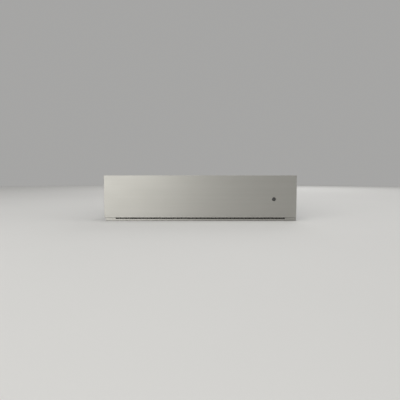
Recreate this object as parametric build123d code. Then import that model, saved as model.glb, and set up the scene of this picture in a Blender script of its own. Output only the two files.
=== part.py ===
from build123d import *
import math
import os

# A built-in warming drawer with a handleless stainless front, in millimetres.
# +Z is up, the front faces -Y and the origin is at the middle of the base.

# ------------------------------------------------------------ driving sizes

# Sheet metal and clearances
sheet = 1.0                    # thickness of every folded sheet
fold = 0.5                     # inner radius of a fold
fit = 0.1                      # radial gap between a screw or pin and its hole
gap = 0.3                      # gap between pieces that move past each other

# Drawer front
front_width = 595.0
front_height = 130.8
front_thickness = 20.0
front_edge = 0.8               # rounding of the front's outer edges
front_gap = 0.2                # play of what sits inside the front's skin

# Trim below the front, and the air slot above the trim
trim_height = 5.3
trim_lift = 1.0                # from the ground line up to the trim
trim_setback = 1.5
trim_inset_left = 3.5
trim_inset_right = 0.5
trim_sheet = 1.2
slot_height = 3.9
slot_end = 34.5                # from each end of the front to the slot
running_gap = 0.5              # between the front and the trim's raised ends

# Housing
front_overhang = 19.5          # how far the front stands past the housing's side
buffer_gap = 4.0               # between the front's back and the housing
housing_depth = 512.0
top_step = 6.0                 # the housing's top lies this far under the front's top
rib_height = 2.5
rib_width = 30.0
flange_width = 16.0
lip_width = 12.0
fixing_hole = 4.5              # diameter of the holes for the cabinet screws
fixing_low = 40.0              # height of the lower pair
fixing_rise = 70.0             # from the lower pair to the upper pair

# Space under the drawer floor
lead_space = 7.5
blanket_thickness = 4.0
duct_height = 18.0

# Drawer
tub_top_gap = 20.0             # from the drawer's rim up to the housing's top
rim_width = 8.0
rear_space = 36.0              # from the drawer floor's end to the housing's rear wall
glass_thickness = 4.0
mat_thickness = 2.0

# Rails, in steps of 50 mm
rail_height = 46.0
rail_thickness = 12.7
rail_wall = 1.2
rail_lift = 3.0                # from the drawer floor's underside up to the rail
rail_front_gap = 4.0
rail_rear_play = 45.0
rail_step = 50.0
travel_reserve = 30.0          # how much of the rail's length is left at full travel
ball_size = 3.6
ball_pitch = 15.0
ball_count = 12

# Pilot lamp
pilot_offset = 227.5           # right of the middle
pilot_drop = 73.7              # below the front's top edge
pilot_hole = 12.4
pilot_lens_size = 11.0

# Control
box_width = 97.0
box_depth = 52.0
knob_size = 38.0
knob_height = 13.0
shaft_size = 6.0

# Blower
rotor_size = 48.0
rotor_play = 5.0               # from the rotor to the scroll
scroll_half = 90.0
scroll_lift = 2.0              # from the drawer floor up to the scroll
blade_count = 20
fan_shaft = 5.0

# Heating element
tube_size = 6.5
element_pitch = 100.0

# Push latch
latch_x = 125.0
latch_lift = 25.0              # from the drawer floor up to the plunger's axis
latch_size = 26.0
plunger_size = 9.0

# Mains inlet
inlet_x = -215.0
inlet_z = 60.0
gland_bore = 8.0
gland_reach = 12.0
terminal_depth = 32.0

# Leads
lead_size = 6.0
control_lead_size = 4.0

# ------------------------------------------------------------ derived places

half_front = front_width / 2
half_housing = half_front - front_overhang
wall_in = half_housing - sheet
overall_depth = front_thickness + buffer_gap + housing_depth + gland_reach

front_y = -overall_depth / 2
panel_back_y = front_y + front_thickness
flange_y = panel_back_y + buffer_gap
rear_y = flange_y + housing_depth
rear_in = rear_y - sheet

base_top = rib_height + sheet
trim_top = trim_lift + trim_height
front_bottom = trim_top + slot_height
front_top = front_bottom + front_height
housing_top = front_top - top_step
cover_bottom = housing_top - sheet
trim_y = front_y + trim_setback
slot_half = half_front - slot_end

blanket_bottom = base_top + lead_space
pan_bottom = blanket_bottom + blanket_thickness
pan_top = pan_bottom + sheet
floor_bottom = pan_top + duct_height
floor_top = floor_bottom + sheet
tub_top = housing_top - tub_top_gap
rim_bottom = tub_top - 7.0
side_out = wall_in - rail_thickness
side_in = side_out - sheet
floor_rear = rear_in - rear_space
scroll_radius = rotor_size / 2 + rotor_play
tub_rear = floor_rear - sheet - 2 * (scroll_radius + scroll_lift)
tub_front = panel_back_y + sheet

rail_z = floor_bottom + rail_lift + rail_height / 2
rail_front = flange_y + rail_front_gap
rail_length = rail_step * math.floor((housing_depth - rail_rear_play) / rail_step)
rail_rear = rail_front + rail_length
travel = rail_length - travel_reserve

pilot_z = front_top - pilot_drop
fan_y = tub_rear + sheet + scroll_radius + scroll_lift
fan_z = floor_top + scroll_radius + scroll_lift
latch_z = floor_top + latch_lift


# ------------------------------------------------------------ helpers

def block(x0, x1, y0, y1, z0, z1):
    """A box between two corners."""
    middle = Pos((x0 + x1) / 2, (y0 + y1) / 2, (z0 + z1) / 2)
    return middle * Box(x1 - x0, y1 - y0, z1 - z0)


def rod_x(x0, x1, y, z, radius):
    """A round bar along X."""
    return Pos((x0 + x1) / 2, y, z) * Rot(0, 90, 0) * Cylinder(radius, x1 - x0)


def rod_y(y0, y1, x, z, radius):
    """A round bar along Y."""
    return Pos(x, (y0 + y1) / 2, z) * Rot(90, 0, 0) * Cylinder(radius, y1 - y0)


def rod_z(z0, z1, x, y, radius):
    """A round bar along Z."""
    return Pos(x, y, (z0 + z1) / 2) * Cylinder(radius, z1 - z0)


def folded(corners, thickness, radius):
    """The section of a folded sheet, thickened to the left of its line of corners."""
    line = FilletPolyline(*corners, radius=radius)
    return Face(Wire(line.edges()).offset_2d(thickness, side=Side.LEFT))


def run_y(section, y0, y1):
    """Run a section drawn in X and Z from y0 to y1."""
    plane = Plane(origin=(0, y1, 0), x_dir=(1, 0, 0), z_dir=(0, -1, 0))
    return extrude(plane * section, amount=y1 - y0)


def run_x(section, x0, x1):
    """Run a section drawn in Y and Z from x0 to x1."""
    plane = Plane(origin=(x0, 0, 0), x_dir=(0, 1, 0), z_dir=(1, 0, 0))
    return extrude(plane * section, amount=x1 - x0)


def other_side(shape):
    """The same piece on the left, mirrored through the middle plane."""
    return mirror(shape, about=Plane.YZ)


def spread(first, last, count):
    """Evenly spaced places from first to last."""
    return [first + (last - first) * i / (count - 1) for i in range(count)]


def tube(route, diameter, radii):
    """A round lead along straight runs joined by tangent arcs."""
    line = FilletPolyline(*route, radius=radii)
    path = Wire(line.edges())
    start = Plane(origin=path @ 0, z_dir=path % 0)
    solid = sweep(start * Circle(diameter / 2), path=path)
    section = math.pi * diameter**2 / 4
    print(
        "lead: radii", [round(r, 1) for r in radii], "fill",
        round(solid.volume / (section * path.length), 4),
    )
    return solid


def headed_pin_y(x, z, seat, tip, head_radius, head_height, shank_radius):
    """A screw or rivet along Y: its head stands on the seat, its shank runs to the tip."""
    way = 1 if seat > tip else -1
    head_end = seat + way * head_height
    head = rod_y(min(seat, head_end), max(seat, head_end), x, z, head_radius)
    shank = rod_y(min(seat, tip), max(seat, tip), x, z, shank_radius)
    recess = block(x - 0.4, x + 0.4, head_end - 0.8, head_end + 0.8, z - 1.6, z + 1.6)
    recess += block(x - 1.6, x + 1.6, head_end - 0.8, head_end + 0.8, z - 0.4, z + 0.4)
    return head + shank - recess


def headed_pin_x(y, z, seat, tip, head_radius, head_height, shank_radius):
    """A screw or rivet along X: its head stands on the seat, its shank runs to the tip."""
    way = 1 if seat > tip else -1
    head_end = seat + way * head_height
    head = rod_x(min(seat, head_end), max(seat, head_end), y, z, head_radius)
    shank = rod_x(min(seat, tip), max(seat, tip), y, z, shank_radius)
    return head + shank


# ------------------------------------------------------------ housing

rib_places = [-half_housing + 48.0, -90.0, 90.0, half_housing - 48.0]
rib_front = flange_y + 22.0
rib_rear = rear_y - 12.0
shelf_rear = flange_y + 16.0
rivet_places = spread(-half_housing + 38.0, half_housing - 38.0, 4)
rivet_y_place = flange_y + 9.0
rail_screw_places = [rail_front + 25.0, (rail_front + rail_rear) / 2, rail_rear - 25.0]
screw_radius = 2.0
cover_screw_places = spread(-half_housing + 58.0, half_housing - 58.0, 4)
cover_screw_z = cover_bottom - 6.0
fixing_places = [fixing_low, fixing_low + fixing_rise]


def housing_base():
    """The base plate, with four ribs pressed down to the ground line."""
    plate = block(-half_housing, half_housing, flange_y + sheet, rear_y, rib_height, base_top)
    for x in rib_places:
        low, high = x - rib_width / 2, x + rib_width / 2
        plate += block(low, high, rib_front, rib_rear, 0, rib_height)
        plate -= block(low + sheet, high - sheet, rib_front + sheet, rib_rear - sheet, sheet, base_top)
    for x in rivet_places:
        plate -= rod_z(rib_height, base_top, x, rivet_y_place, screw_radius + fit)
    return plate


def housing_side():
    """The right side wall, with its lips and the flange that is screwed to the cabinet."""
    corners = [
        (wall_in - lip_width, base_top),
        (half_housing, base_top),
        (half_housing, cover_bottom),
        (wall_in - lip_width, cover_bottom),
    ]
    wall = run_y(folded(corners, sheet, sheet + fold), flange_y, rear_y)
    flange_end = half_housing + flange_width
    wall += block(wall_in, flange_end, flange_y, flange_y + sheet, base_top + 5.0, cover_bottom - 5.0)
    for z in fixing_places:
        wall -= rod_y(flange_y, flange_y + sheet, half_housing + flange_width / 2, z, fixing_hole / 2)
    for y in rail_screw_places:
        wall -= rod_x(wall_in, half_housing, y, rail_z, screw_radius + fit)
    for y in spread(-90.0, 90.0, 7):
        wall -= block(wall_in, half_housing, y - 10.0, y + 10.0, tub_top - 15.0, tub_top - 12.0)
    return wall


def housing_rear():
    """The rear wall, with louvre slots and side flanges."""
    low, high = base_top + sheet + fold, cover_bottom - sheet - fold
    wall = block(-wall_in, wall_in, rear_in, rear_y, low, high)
    foot = wall_in - lip_width - 1.0
    wall += block(-foot, foot, rear_in - lip_width, rear_y, base_top, low)
    for x0 in [-wall_in, wall_in - sheet]:
        wall += block(x0, x0 + sheet, rear_in - lip_width, rear_in, low, high)
    for x in spread(-160.0, 160.0, 11):
        for drop in [14.0, 22.0, 30.0]:
            z = cover_bottom - drop
            wall -= block(x - 11.0, x + 11.0, rear_in, rear_y, z - 1.5, z + 1.5)
    for x in cover_screw_places:
        wall -= rod_y(rear_in, rear_y, x, cover_screw_z, screw_radius + fit)
    for x in [latch_x - 9.0, latch_x + 9.0]:
        wall -= rod_y(rear_in, rear_y, x, latch_z - 9.0, 1.5 + fit)
    for x in [inlet_x - 22.0, inlet_x + 22.0]:
        wall -= rod_y(rear_in, rear_y, x, inlet_z + 12.0, 1.5 + fit)
    wall -= rod_y(rear_in, rear_y, inlet_x, inlet_z, 8.0 + fit)
    return wall


def housing_top():
    """The top cover, with three pressed beads, a front hem and a rear flange."""
    cover = block(-half_housing, half_housing, flange_y, rear_y, cover_bottom, cover_bottom + sheet)
    hem_half = wall_in - lip_width - 1.0
    cover += block(-hem_half, hem_half, flange_y, flange_y + sheet, cover_bottom - 6.0, cover_bottom)
    flange_half = half_housing - 10.0
    cover += block(
        -flange_half, flange_half, rear_y, rear_y + sheet, cover_bottom - 12.0, cover_bottom + sheet,
    )
    for y in [-120.0, 0.0, 120.0]:
        cover += block(-210.0, 210.0, y - 10.0, y + 10.0, cover_bottom - 1.5, cover_bottom)
        cover -= block(-209.0, 209.0, y - 9.0, y + 9.0, cover_bottom - 0.5, cover_bottom + sheet)
    for x in cover_screw_places:
        cover -= rod_y(rear_y, rear_y + sheet, x, cover_screw_z, screw_radius + fit)
    return cover


def cover_screws():
    """Pan-head screws through the cover's rear flange."""
    seat = rear_y + sheet
    return [
        headed_pin_y(x, cover_screw_z, seat, rear_in - 3.0, 3.6, 2.2, screw_radius)
        for x in cover_screw_places
    ]


def bottom_trim():
    """The stainless trim: a face with raised ends, and a shelf under the base plate."""
    left, right = -half_front + trim_inset_left, half_front - trim_inset_right
    face_back = trim_y + trim_sheet
    trim = block(left, right, trim_y, face_back, trim_lift, trim_top)
    end_top = front_bottom - running_gap
    for x0, x1 in [(left, -slot_half), (slot_half, right)]:
        trim += block(x0, x1, trim_y, face_back, trim_lift, end_top)
        trim += block(x0, x1, face_back, face_back + 8.0, end_top - trim_sheet, end_top)
    shelf_bottom = rib_height - trim_sheet
    trim += block(left, right, trim_y, flange_y - 1.0, shelf_bottom, rib_height)
    trim += block(-half_housing, half_housing, flange_y - 1.0, shelf_rear, shelf_bottom, rib_height)
    for x in rivet_places:
        trim -= rod_z(shelf_bottom, rib_height, x, rivet_y_place, screw_radius + fit)
    return trim


def trim_rivets():
    """Rivets that hold the trim's shelf under the base plate."""
    rivets = []
    for x in rivet_places:
        shank = rod_z(rib_height - trim_sheet, base_top, x, rivet_y_place, screw_radius)
        head = rod_z(base_top, base_top + 0.8, x, rivet_y_place, 3.2)
        tail = rod_z(rib_height - trim_sheet - 0.8, rib_height - trim_sheet, x, rivet_y_place, 3.2)
        rivets.append(head + shank + tail)
    return rivets


def vent_grille():
    """The black comb behind the air slot, standing on the trim's shelf."""
    half = slot_half - 1.0
    front, back = front_y + 9.0, front_y + 17.0
    comb = block(-half, half, front, back, rib_height, rib_height + 2.5)
    for x in spread(-half + 1.0, half - 1.0, 45):
        comb += block(x - 1.0, x + 1.0, front, back, rib_height, front_bottom - running_gap)
    return comb


# ------------------------------------------------------------ mains inlet

terminal_wall = 2.0
terminal_half = 30.0
terminal_low = inlet_z - 22.0
terminal_high = inlet_z + 28.0
terminal_front = rear_in - terminal_depth
gland_radius = 8.0
lead_start_x = inlet_x - 21.0
lead_start_y = rear_in - 16.0


def terminal_box():
    """The plastic box inside the rear wall, open to the front under its lid."""
    low, high = inlet_x - terminal_half, inlet_x + terminal_half
    box = block(low, high, terminal_front, rear_in, terminal_low, terminal_high)
    inner_low, inner_high = low + terminal_wall, high - terminal_wall
    bottom, top = terminal_low + terminal_wall, terminal_high - terminal_wall
    box -= block(inner_low, inner_high, terminal_front, rear_in - terminal_wall, bottom, top)
    box -= rod_y(rear_in - terminal_wall, rear_in, inlet_x, inlet_z, gland_radius + fit)
    box -= rod_z(terminal_low, bottom, lead_start_x, lead_start_y, lead_size / 2 + fit)
    for x in [inlet_x - 22.0, inlet_x + 22.0]:
        box += rod_y(rear_in - 12.0, rear_in - terminal_wall, x, inlet_z + 12.0, 3.0)
        box -= rod_y(rear_in - 10.0, rear_in, x, inlet_z + 12.0, 1.5 + fit)
    return box


def terminal_lid():
    """The lid of the terminal box, with a lip inside its walls."""
    low, high = inlet_x - terminal_half, inlet_x + terminal_half
    lid = block(low, high, terminal_front - terminal_wall, terminal_front, terminal_low, terminal_high)
    inset = terminal_wall + front_gap
    lip = block(
        low + inset, high - inset, terminal_front, terminal_front + 2.0,
        terminal_low + inset, terminal_high - inset,
    )
    inset += 1.5
    lip -= block(
        low + inset, high - inset, terminal_front, terminal_front + 2.0,
        terminal_low + inset, terminal_high - inset,
    )
    return lid + lip


def terminal_block():
    """A three-pole block with a screw well over each pole."""
    body = block(
        inlet_x - 17.0, inlet_x + 17.0, rear_in - 18.0,
        rear_in - terminal_wall, terminal_high - 17.0, terminal_high - 4.0,
    )
    for x in [inlet_x - 11.0, inlet_x, inlet_x + 11.0]:
        body -= rod_y(rear_in - 18.0, rear_in - 12.0, x, terminal_high - 8.0, 2.2)
        body -= block(
            x - 2.5, x + 2.5, rear_in - 14.0, rear_in - 8.0,
            terminal_high - 17.0, terminal_high - 12.0,
        )
    return body


def cable_gland():
    """The gland for the mains cord: a hexagon outside and a threaded sleeve through the wall."""
    hexagon = extrude(
        Plane(origin=(inlet_x, rear_y, inlet_z), z_dir=(0, 1, 0)) * RegularPolygon(11.0, 6),
        gland_reach,
    )
    dome = rod_y(rear_y + gland_reach - 4.0, rear_y + gland_reach, inlet_x, inlet_z, 8.5)
    hexagon = hexagon - rod_y(
        rear_y + gland_reach - 4.0, rear_y + gland_reach, inlet_x, inlet_z, 20.0,
    ) + dome
    sleeve = rod_y(rear_in - 10.0, rear_y, inlet_x, inlet_z, gland_radius)
    bore = rod_y(rear_in - 10.0, rear_y + gland_reach, inlet_x, inlet_z, gland_bore / 2)
    return hexagon + sleeve - bore


def gland_nut():
    """The lock nut on the gland's sleeve, inside the terminal box."""
    front = rear_in - terminal_wall - 4.0
    nut = extrude(Plane(origin=(inlet_x, front, inlet_z), z_dir=(0, 1, 0)) * RegularPolygon(11.0, 6), 4.0)
    return nut - rod_y(front, front + 4.0, inlet_x, inlet_z, gland_radius + fit)


def rear_screws():
    """Small screws through the rear wall into the latch and the terminal box."""
    places = [(latch_x - 9.0, latch_z - 9.0), (latch_x + 9.0, latch_z - 9.0)]
    places += [(inlet_x - 22.0, inlet_z + 12.0), (inlet_x + 22.0, inlet_z + 12.0)]
    return [headed_pin_y(x, z, rear_y, rear_in - 8.0, 2.8, 1.8, 1.5) for x, z in places]


# ------------------------------------------------------------ push latch

latch_front = rear_in - 32.0
plunger_front = floor_rear + gap
plunger_rear = rear_in - 4.0
spring_seat = plunger_front + 4.0
spring_stop = rear_in - 1.5
spring_wire = 0.8
spring_radius = 2.2
spring_turns = 9


def latch_body():
    """The housing of the push latch, with a blind bore for its plunger."""
    half = latch_size / 2
    body = block(latch_x - half, latch_x + half, latch_front, rear_in, latch_z - half, latch_z + half)
    body = fillet(body.edges().filter_by(Axis.Y), 2.0)
    body -= rod_y(latch_front, spring_stop, latch_x, latch_z, plunger_size / 2 + fit)
    for x in [latch_x - 9.0, latch_x + 9.0]:
        body -= rod_y(rear_in - 10.0, rear_in, x, latch_z - 9.0, 1.5 + fit)
    return body


def latch_plunger():
    """The plunger that the closed drawer rests against, hollow for its spring."""
    plunger = rod_y(plunger_front, plunger_rear, latch_x, latch_z, plunger_size / 2)
    plunger = fillet(plunger.edges().sort_by(Axis.Y)[0], 1.0)
    return plunger - rod_y(spring_seat, plunger_rear, latch_x, latch_z, 3.0)


def latch_spring():
    """The spring between the plunger and the blind end of the latch's bore."""
    height = spring_stop - spring_seat - spring_wire - 0.2
    coil = Helix(pitch=height / spring_turns, height=height, radius=spring_radius)
    wire = sweep(Plane(coil @ 0, z_dir=coil % 0) * Circle(spring_wire / 2), path=coil)
    return Pos(latch_x, spring_seat + spring_wire / 2 + 0.1, latch_z) * Rot(-90, 0, 0) * wire


def latch_striker():
    """The angle on the drawer's floor that meets the plunger and carries its catch."""
    low, high = latch_x - 11.0, latch_x + 11.0
    upright = block(low, high, floor_rear - 2.0, floor_rear, floor_top, latch_z + 11.0)
    foot = block(low, high, floor_rear - 20.0, floor_rear - 2.0, floor_top, floor_top + 2.0)
    web = block(latch_x - 1.0, latch_x + 1.0, floor_rear - 14.0, floor_rear - 2.0, floor_top + 2.0, latch_z)
    return upright + foot + web


# ------------------------------------------------------------ rails

rail_half = rail_height / 2
race = ball_size + 0.5
middle_half = rail_half - rail_wall - race
inner_half = middle_half - rail_wall - race
outer_reach = 9.5              # how far the outer member's flanges come off the wall
middle_back = 2.6              # from the wall to the middle member's web
middle_reach = 11.0
inner_back = 5.6
cage_wall = 0.6
outer_cage_back = 1.6
inner_cage_back = 4.4
outer_ball = 6.5
inner_ball = 8.4
cage_length = ball_pitch * ball_count
cage_front = rail_front + (rail_length - travel / 2 - cage_length) / 2 + travel / 4


def channel(web, edge, half, wall, y0, y1):
    """A rail member on the right: a web and two flanges, placed by distance from the wall."""
    web_far = web + wall if edge > web else web - wall
    low, high = wall_in - max(web, web_far), wall_in - min(web, web_far)
    member = block(low, high, y0, y1, rail_z - half, rail_z + half)
    low, high = wall_in - max(web, edge), wall_in - min(web, edge)
    for z in [rail_z - half, rail_z + half - wall]:
        member += block(low, high, y0, y1, z, z + wall)
    return member


def rail_outer():
    """The rail member on the housing's wall."""
    member = channel(0.0, outer_reach, rail_half, rail_wall, rail_front, rail_rear)
    for y in rail_screw_places:
        member -= rod_x(wall_in - rail_wall, wall_in, y, rail_z, screw_radius + fit)
    return member


def rail_middle():
    """The rail member between the two others."""
    return channel(middle_back, middle_reach, middle_half, rail_wall, rail_front, rail_rear)


def rail_inner():
    """The rail member on the drawer's side."""
    member = channel(rail_thickness, inner_back, inner_half, rail_wall, rail_front, rail_rear)
    for y in rail_screw_places:
        member -= rod_x(side_out, side_out + rail_wall, y, rail_z, screw_radius + fit)
    return member


def ball_cage(back, reach, ball_place, ball_z):
    """A ball cage between two members, with its two rows of balls."""
    rear = cage_front + cage_length
    tip = ball_z + cage_wall / 2
    cage = block(wall_in - back - cage_wall, wall_in - back, cage_front, rear, rail_z - tip, rail_z + tip)
    for z in [rail_z - tip, rail_z + tip - cage_wall]:
        cage += block(wall_in - reach, wall_in - back, cage_front, rear, z, z + cage_wall)
    x = wall_in - ball_place
    balls = []
    for i in range(ball_count):
        y = cage_front + ball_pitch * (i + 0.5)
        cage -= rod_z(rail_z - tip - 1.0, rail_z + tip + 1.0, x, y, ball_size / 2 + 0.2)
        balls += [Pos(x, y, rail_z + z) * Sphere(ball_size / 2) for z in [-ball_z, ball_z]]
    return [cage] + balls


def outer_ball_cage():
    """The cage that rolls between the outer and the middle member."""
    return ball_cage(outer_cage_back, outer_reach, outer_ball, middle_half + race / 2)


def inner_ball_cage():
    """The cage that rolls between the middle and the inner member."""
    return ball_cage(inner_cage_back, middle_reach - 0.4, inner_ball, inner_half + race / 2)


def rail_screws():
    """Screws through the housing's right wall into the outer member."""
    tip = wall_in - rail_wall
    return [headed_pin_x(y, rail_z, half_housing, tip, 4.0, 2.2, screw_radius) for y in rail_screw_places]


def rail_rivets():
    """Rivets through the drawer's right side into the inner member."""
    tip = side_out + rail_wall
    return [headed_pin_x(y, rail_z, side_in, tip, 3.5, 1.6, screw_radius) for y in rail_screw_places]


# ------------------------------------------------------------ drawer front

board_inset = sheet + front_gap
front_screw_places = [(x, z) for x in (-228.0, -80.0, 68.0) for z in (floor_top + 15.0, tub_top - 15.0)]
buffer_x = half_housing + flange_width / 2
buffer_places = [fixing_low - 17.0, fixing_low + fixing_rise + 13.0]
bezel_radius = 6.0
lamp_radius = 6.5
lamp_front = front_y + 6.0


def front_panel():
    """The stainless skin of the front: a face with returned edges, open at the back."""
    skin = block(-half_front, half_front, front_y, panel_back_y, front_bottom, front_top)
    corners = skin.edges().filter_by(Axis.Y)
    skin = fillet(corners + skin.faces().sort_by(Axis.Y)[0].edges(), front_edge)
    side, bottom = half_front - sheet, front_bottom + sheet
    skin -= block(-side, side, front_y + sheet, panel_back_y, bottom, front_top - sheet)
    return skin - rod_y(front_y, front_y + sheet, pilot_offset, pilot_z, pilot_hole / 2)


def front_insulation():
    """The board that fills the front between its skin and its inner sheet."""
    side = half_front - board_inset
    board = block(
        -side, side, front_y + sheet, panel_back_y - sheet,
        front_bottom + board_inset, front_top - board_inset,
    )
    for x, z in front_screw_places:
        board -= rod_y(panel_back_y - 8.0, panel_back_y - sheet, x, z, screw_radius + fit)
    return board - rod_y(front_y + sheet, panel_back_y - sheet, pilot_offset, pilot_z, 7.8)


def front_inner_sheet():
    """The sheet that closes the back of the front and carries the drawer."""
    side = half_front - board_inset
    inner = block(
        -side, side, panel_back_y - sheet, panel_back_y,
        front_bottom + board_inset, front_top - board_inset,
    )
    for x, z in front_screw_places:
        inner -= rod_y(panel_back_y - sheet, panel_back_y, x, z, screw_radius + fit)
    return inner


def pilot_bezel():
    """The ring that lines the front's round hole, with a flange behind the skin."""
    ring = rod_y(front_y + 0.2, front_y + sheet, pilot_offset, pilot_z, bezel_radius)
    ring += rod_y(front_y + sheet, front_y + sheet + 1.0, pilot_offset, pilot_z, bezel_radius + 1.5)
    return ring - rod_y(front_y, front_y + sheet + 1.0, pilot_offset, pilot_z, pilot_lens_size / 2 + fit)


def pilot_lens():
    """The dark lens of the pilot lamp."""
    lens = rod_y(front_y + 0.4, lamp_front, pilot_offset, pilot_z, pilot_lens_size / 2)
    return fillet(lens.edges().sort_by(Axis.Y)[0], 0.4)


def pilot_lamp():
    """The lamp's holder behind the lens."""
    return rod_y(lamp_front, panel_back_y - sheet, pilot_offset, pilot_z, lamp_radius)


def front_screws():
    """Screws through the drawer's front wall and the inner sheet into the front."""
    return [
        headed_pin_y(x, z, tub_front, panel_back_y - 7.0, 4.0, 2.2, screw_radius)
        for x, z in front_screw_places
    ]


def buffers():
    """Rubber buttons on the front's back, which meet the housing's flanges."""
    return [
        rod_y(panel_back_y, flange_y - gap, x, z, 4.5)
        for x in (-buffer_x, buffer_x)
        for z in buffer_places
    ]


# ------------------------------------------------------------ drawer

rim_out = side_out + rim_width
control_lead_x = side_out + 4.1
control_lead_z = (rail_z + rail_half + rim_bottom) / 2
control_lead_front = tub_front + 17.0
control_lead_rear = floor_rear - 19.0
lead_up_x = 165.0
lead_up_y = floor_rear - 15.0

box_right = side_in - 2.0
box_left = box_right - box_width
box_rear = tub_front + box_depth
fascia_top = tub_top - 4.0
box_top = fascia_top - 2.0

glass_side = side_in - 8.0
glass_front = box_rear + 3.0
glass_rear = tub_rear - 6.0
glass_top = floor_top + glass_thickness
mat_inset = 12.0

scroll_rear = fan_y + scroll_radius
tongue_y = tub_rear + 9.0

pan_side = side_out - lip_width - sheet
pan_front = tub_front + 6.0
notch_x = 112.0
notch_y = floor_rear - 40.0


def drawer_floor():
    """The drawer's floor, with warm air slots at the front and the blower's outlet."""
    side = side_in - fold
    plate = block(-side, side, tub_front, floor_rear, floor_bottom, floor_top)
    for x in spread(-240.0, 140.0, 20):
        plate -= block(x - 2.5, x + 2.5, tub_front + 10.0, tub_front + 38.0, floor_bottom, floor_top)
    outlet = scroll_half - 2.0
    plate -= block(-outlet, outlet, tongue_y + 2.0, scroll_rear - 2.0, floor_bottom, floor_top)
    return plate - rod_z(floor_bottom, floor_top, lead_up_x, lead_up_y, 5.0 + fit)


def drawer_front_wall():
    """The wall behind the front, with a rim folded to the rear."""
    wall = block(-side_out, side_out, panel_back_y, tub_front, floor_bottom - sheet, tub_top)
    wall += block(-side_in + gap, box_left - gap, tub_front, tub_front + rim_width, tub_top - sheet, tub_top)
    for x, z in front_screw_places:
        wall -= rod_y(panel_back_y, tub_front, x, z, screw_radius + fit)
    return wall


def drawer_side():
    """One side of the drawer: a foot under the floor, a wall and a rim folded outwards."""
    corners = [
        (side_out - lip_width, floor_bottom - sheet),
        (side_out, floor_bottom - sheet),
        (side_out, tub_top - sheet),
        (rim_out - sheet, tub_top - sheet),
        (rim_out - sheet, rim_bottom),
    ]
    wall = run_y(folded(corners, sheet, [sheet + fold, fold, fold]), tub_front, floor_rear)
    for y in rail_screw_places:
        wall -= rod_x(side_in, side_out, y, rail_z, screw_radius + fit)
    return wall


def drawer_side_right():
    """The right side, with two slots for the control lead."""
    wall = drawer_side()
    half = control_lead_size / 2 + 1.0
    low, high = control_lead_z - half, control_lead_z + half
    for y0, y1 in [
        (control_lead_front - 4.0, control_lead_front + 8.0),
        (control_lead_rear - 10.0, control_lead_rear + 4.0),
    ]:
        wall -= block(side_in, side_out, y0, y1, low, high)
    return wall


def drawer_rear():
    """The wall in front of the blower, with the intake grille."""
    wall = block(-side_in, side_in, tub_rear, tub_rear + sheet, floor_top, tub_top)
    wall += block(-side_in, side_in, tub_rear + sheet, tub_rear + rim_width, tub_top - sheet, tub_top)
    for x in spread(-scroll_half + 6.0, scroll_half - 6.0, 19):
        wall -= block(x - 2.0, x + 2.0, tub_rear, tub_rear + sheet, fan_z - 19.0, fan_z + 23.0)
    return wall


def glass_base():
    """The toughened glass plate on the drawer's floor."""
    plate = block(-glass_side, glass_side, glass_front, glass_rear, floor_top, glass_top)
    plate = fillet(plate.edges().filter_by(Axis.Z), 12.0)
    return chamfer(plate.faces().sort_by(Axis.Z)[-1].edges(), 0.6)


def non_slip_mat():
    """The soft mat on the glass."""
    side = glass_side - mat_inset
    front, rear = glass_front + mat_inset, glass_rear - mat_inset
    mat = block(-side, side, front, rear, glass_top, glass_top + mat_thickness)
    return fillet(mat.edges().filter_by(Axis.Z), 10.0)


def pan_outline(inset):
    """The outline of the underpan, with the notch that lets the lead pass."""
    side, notch = pan_side - inset, notch_x - inset
    front, rear, step = pan_front + inset, floor_rear - inset, notch_y - inset
    corners = [(-side, front), (side, front), (side, step), (notch, step), (notch, rear), (-side, rear)]
    return make_face(Polyline(*corners, close=True))


def underpan():
    """The tray under the floor, which leads the warm air to the front."""
    height = floor_bottom - sheet - pan_bottom
    pan = extrude(Pos(0, 0, pan_bottom) * pan_outline(0), height)
    pan -= extrude(Pos(0, 0, pan_top) * pan_outline(sheet), height)
    for x0, x1, y1 in [(-side_out + gap, -pan_side, floor_rear), (pan_side, side_out - gap, notch_y)]:
        pan += block(x0, x1, pan_front, y1, floor_bottom - 2 * sheet, floor_bottom - sheet)
    return pan


def insulation_blanket():
    """The thin fibre blanket under the underpan."""
    return extrude(Pos(0, 0, blanket_bottom) * pan_outline(6.0), blanket_thickness)


# ------------------------------------------------------------ heating element

element_z = (pan_top + floor_bottom) / 2
element_front = pan_front + 56.0
element_rear = tub_rear - 52.0
element_end = element_rear + 24.0
element_runs = [element_pitch * (i - 1.5) for i in range(4)]
hanger_places = [element_front + 80.0, element_rear - 50.0]


def heating_element():
    """The sheathed element: four runs, with both ends and their pins at the rear."""
    a, b, c, d = element_runs
    route = [
        (a, element_end), (a, element_front), (b, element_front), (b, element_rear),
        (c, element_rear), (c, element_front), (d, element_front), (d, element_end),
    ]
    sheath = tube([(x, y, element_z) for x, y in route], tube_size, [element_pitch * 0.42] * 6)
    for x in (a, d):
        sheath += rod_y(element_end, element_end + 18.0, x, element_z, 1.6)
    return sheath


def element_hangers():
    """Plates that hang from the floor and hold the element."""
    hangers = []
    for x in element_runs:
        for y in hanger_places:
            plate = block(x - 7.0, x + 7.0, y - 1.0, y + 1.0, element_z - tube_size / 2 - 2.5, floor_bottom)
            plate += block(x - 7.0, x + 7.0, y + 1.0, y + 9.0, floor_bottom - sheet, floor_bottom)
            hangers.append(plate - rod_y(y - 1.0, y + 1.0, x, element_z, tube_size / 2 + fit))
    return hangers


# ------------------------------------------------------------ control

box_wall = 2.0
knob_x = (box_left + box_right) / 2
knob_y = (tub_front + rim_width + box_rear) / 2
shaft_radius = shaft_size / 2
neck_radius = 4.8
thermostat_half = 15.0
knob_low = fascia_top + 2.2
knob_top = knob_low + knob_height


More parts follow.
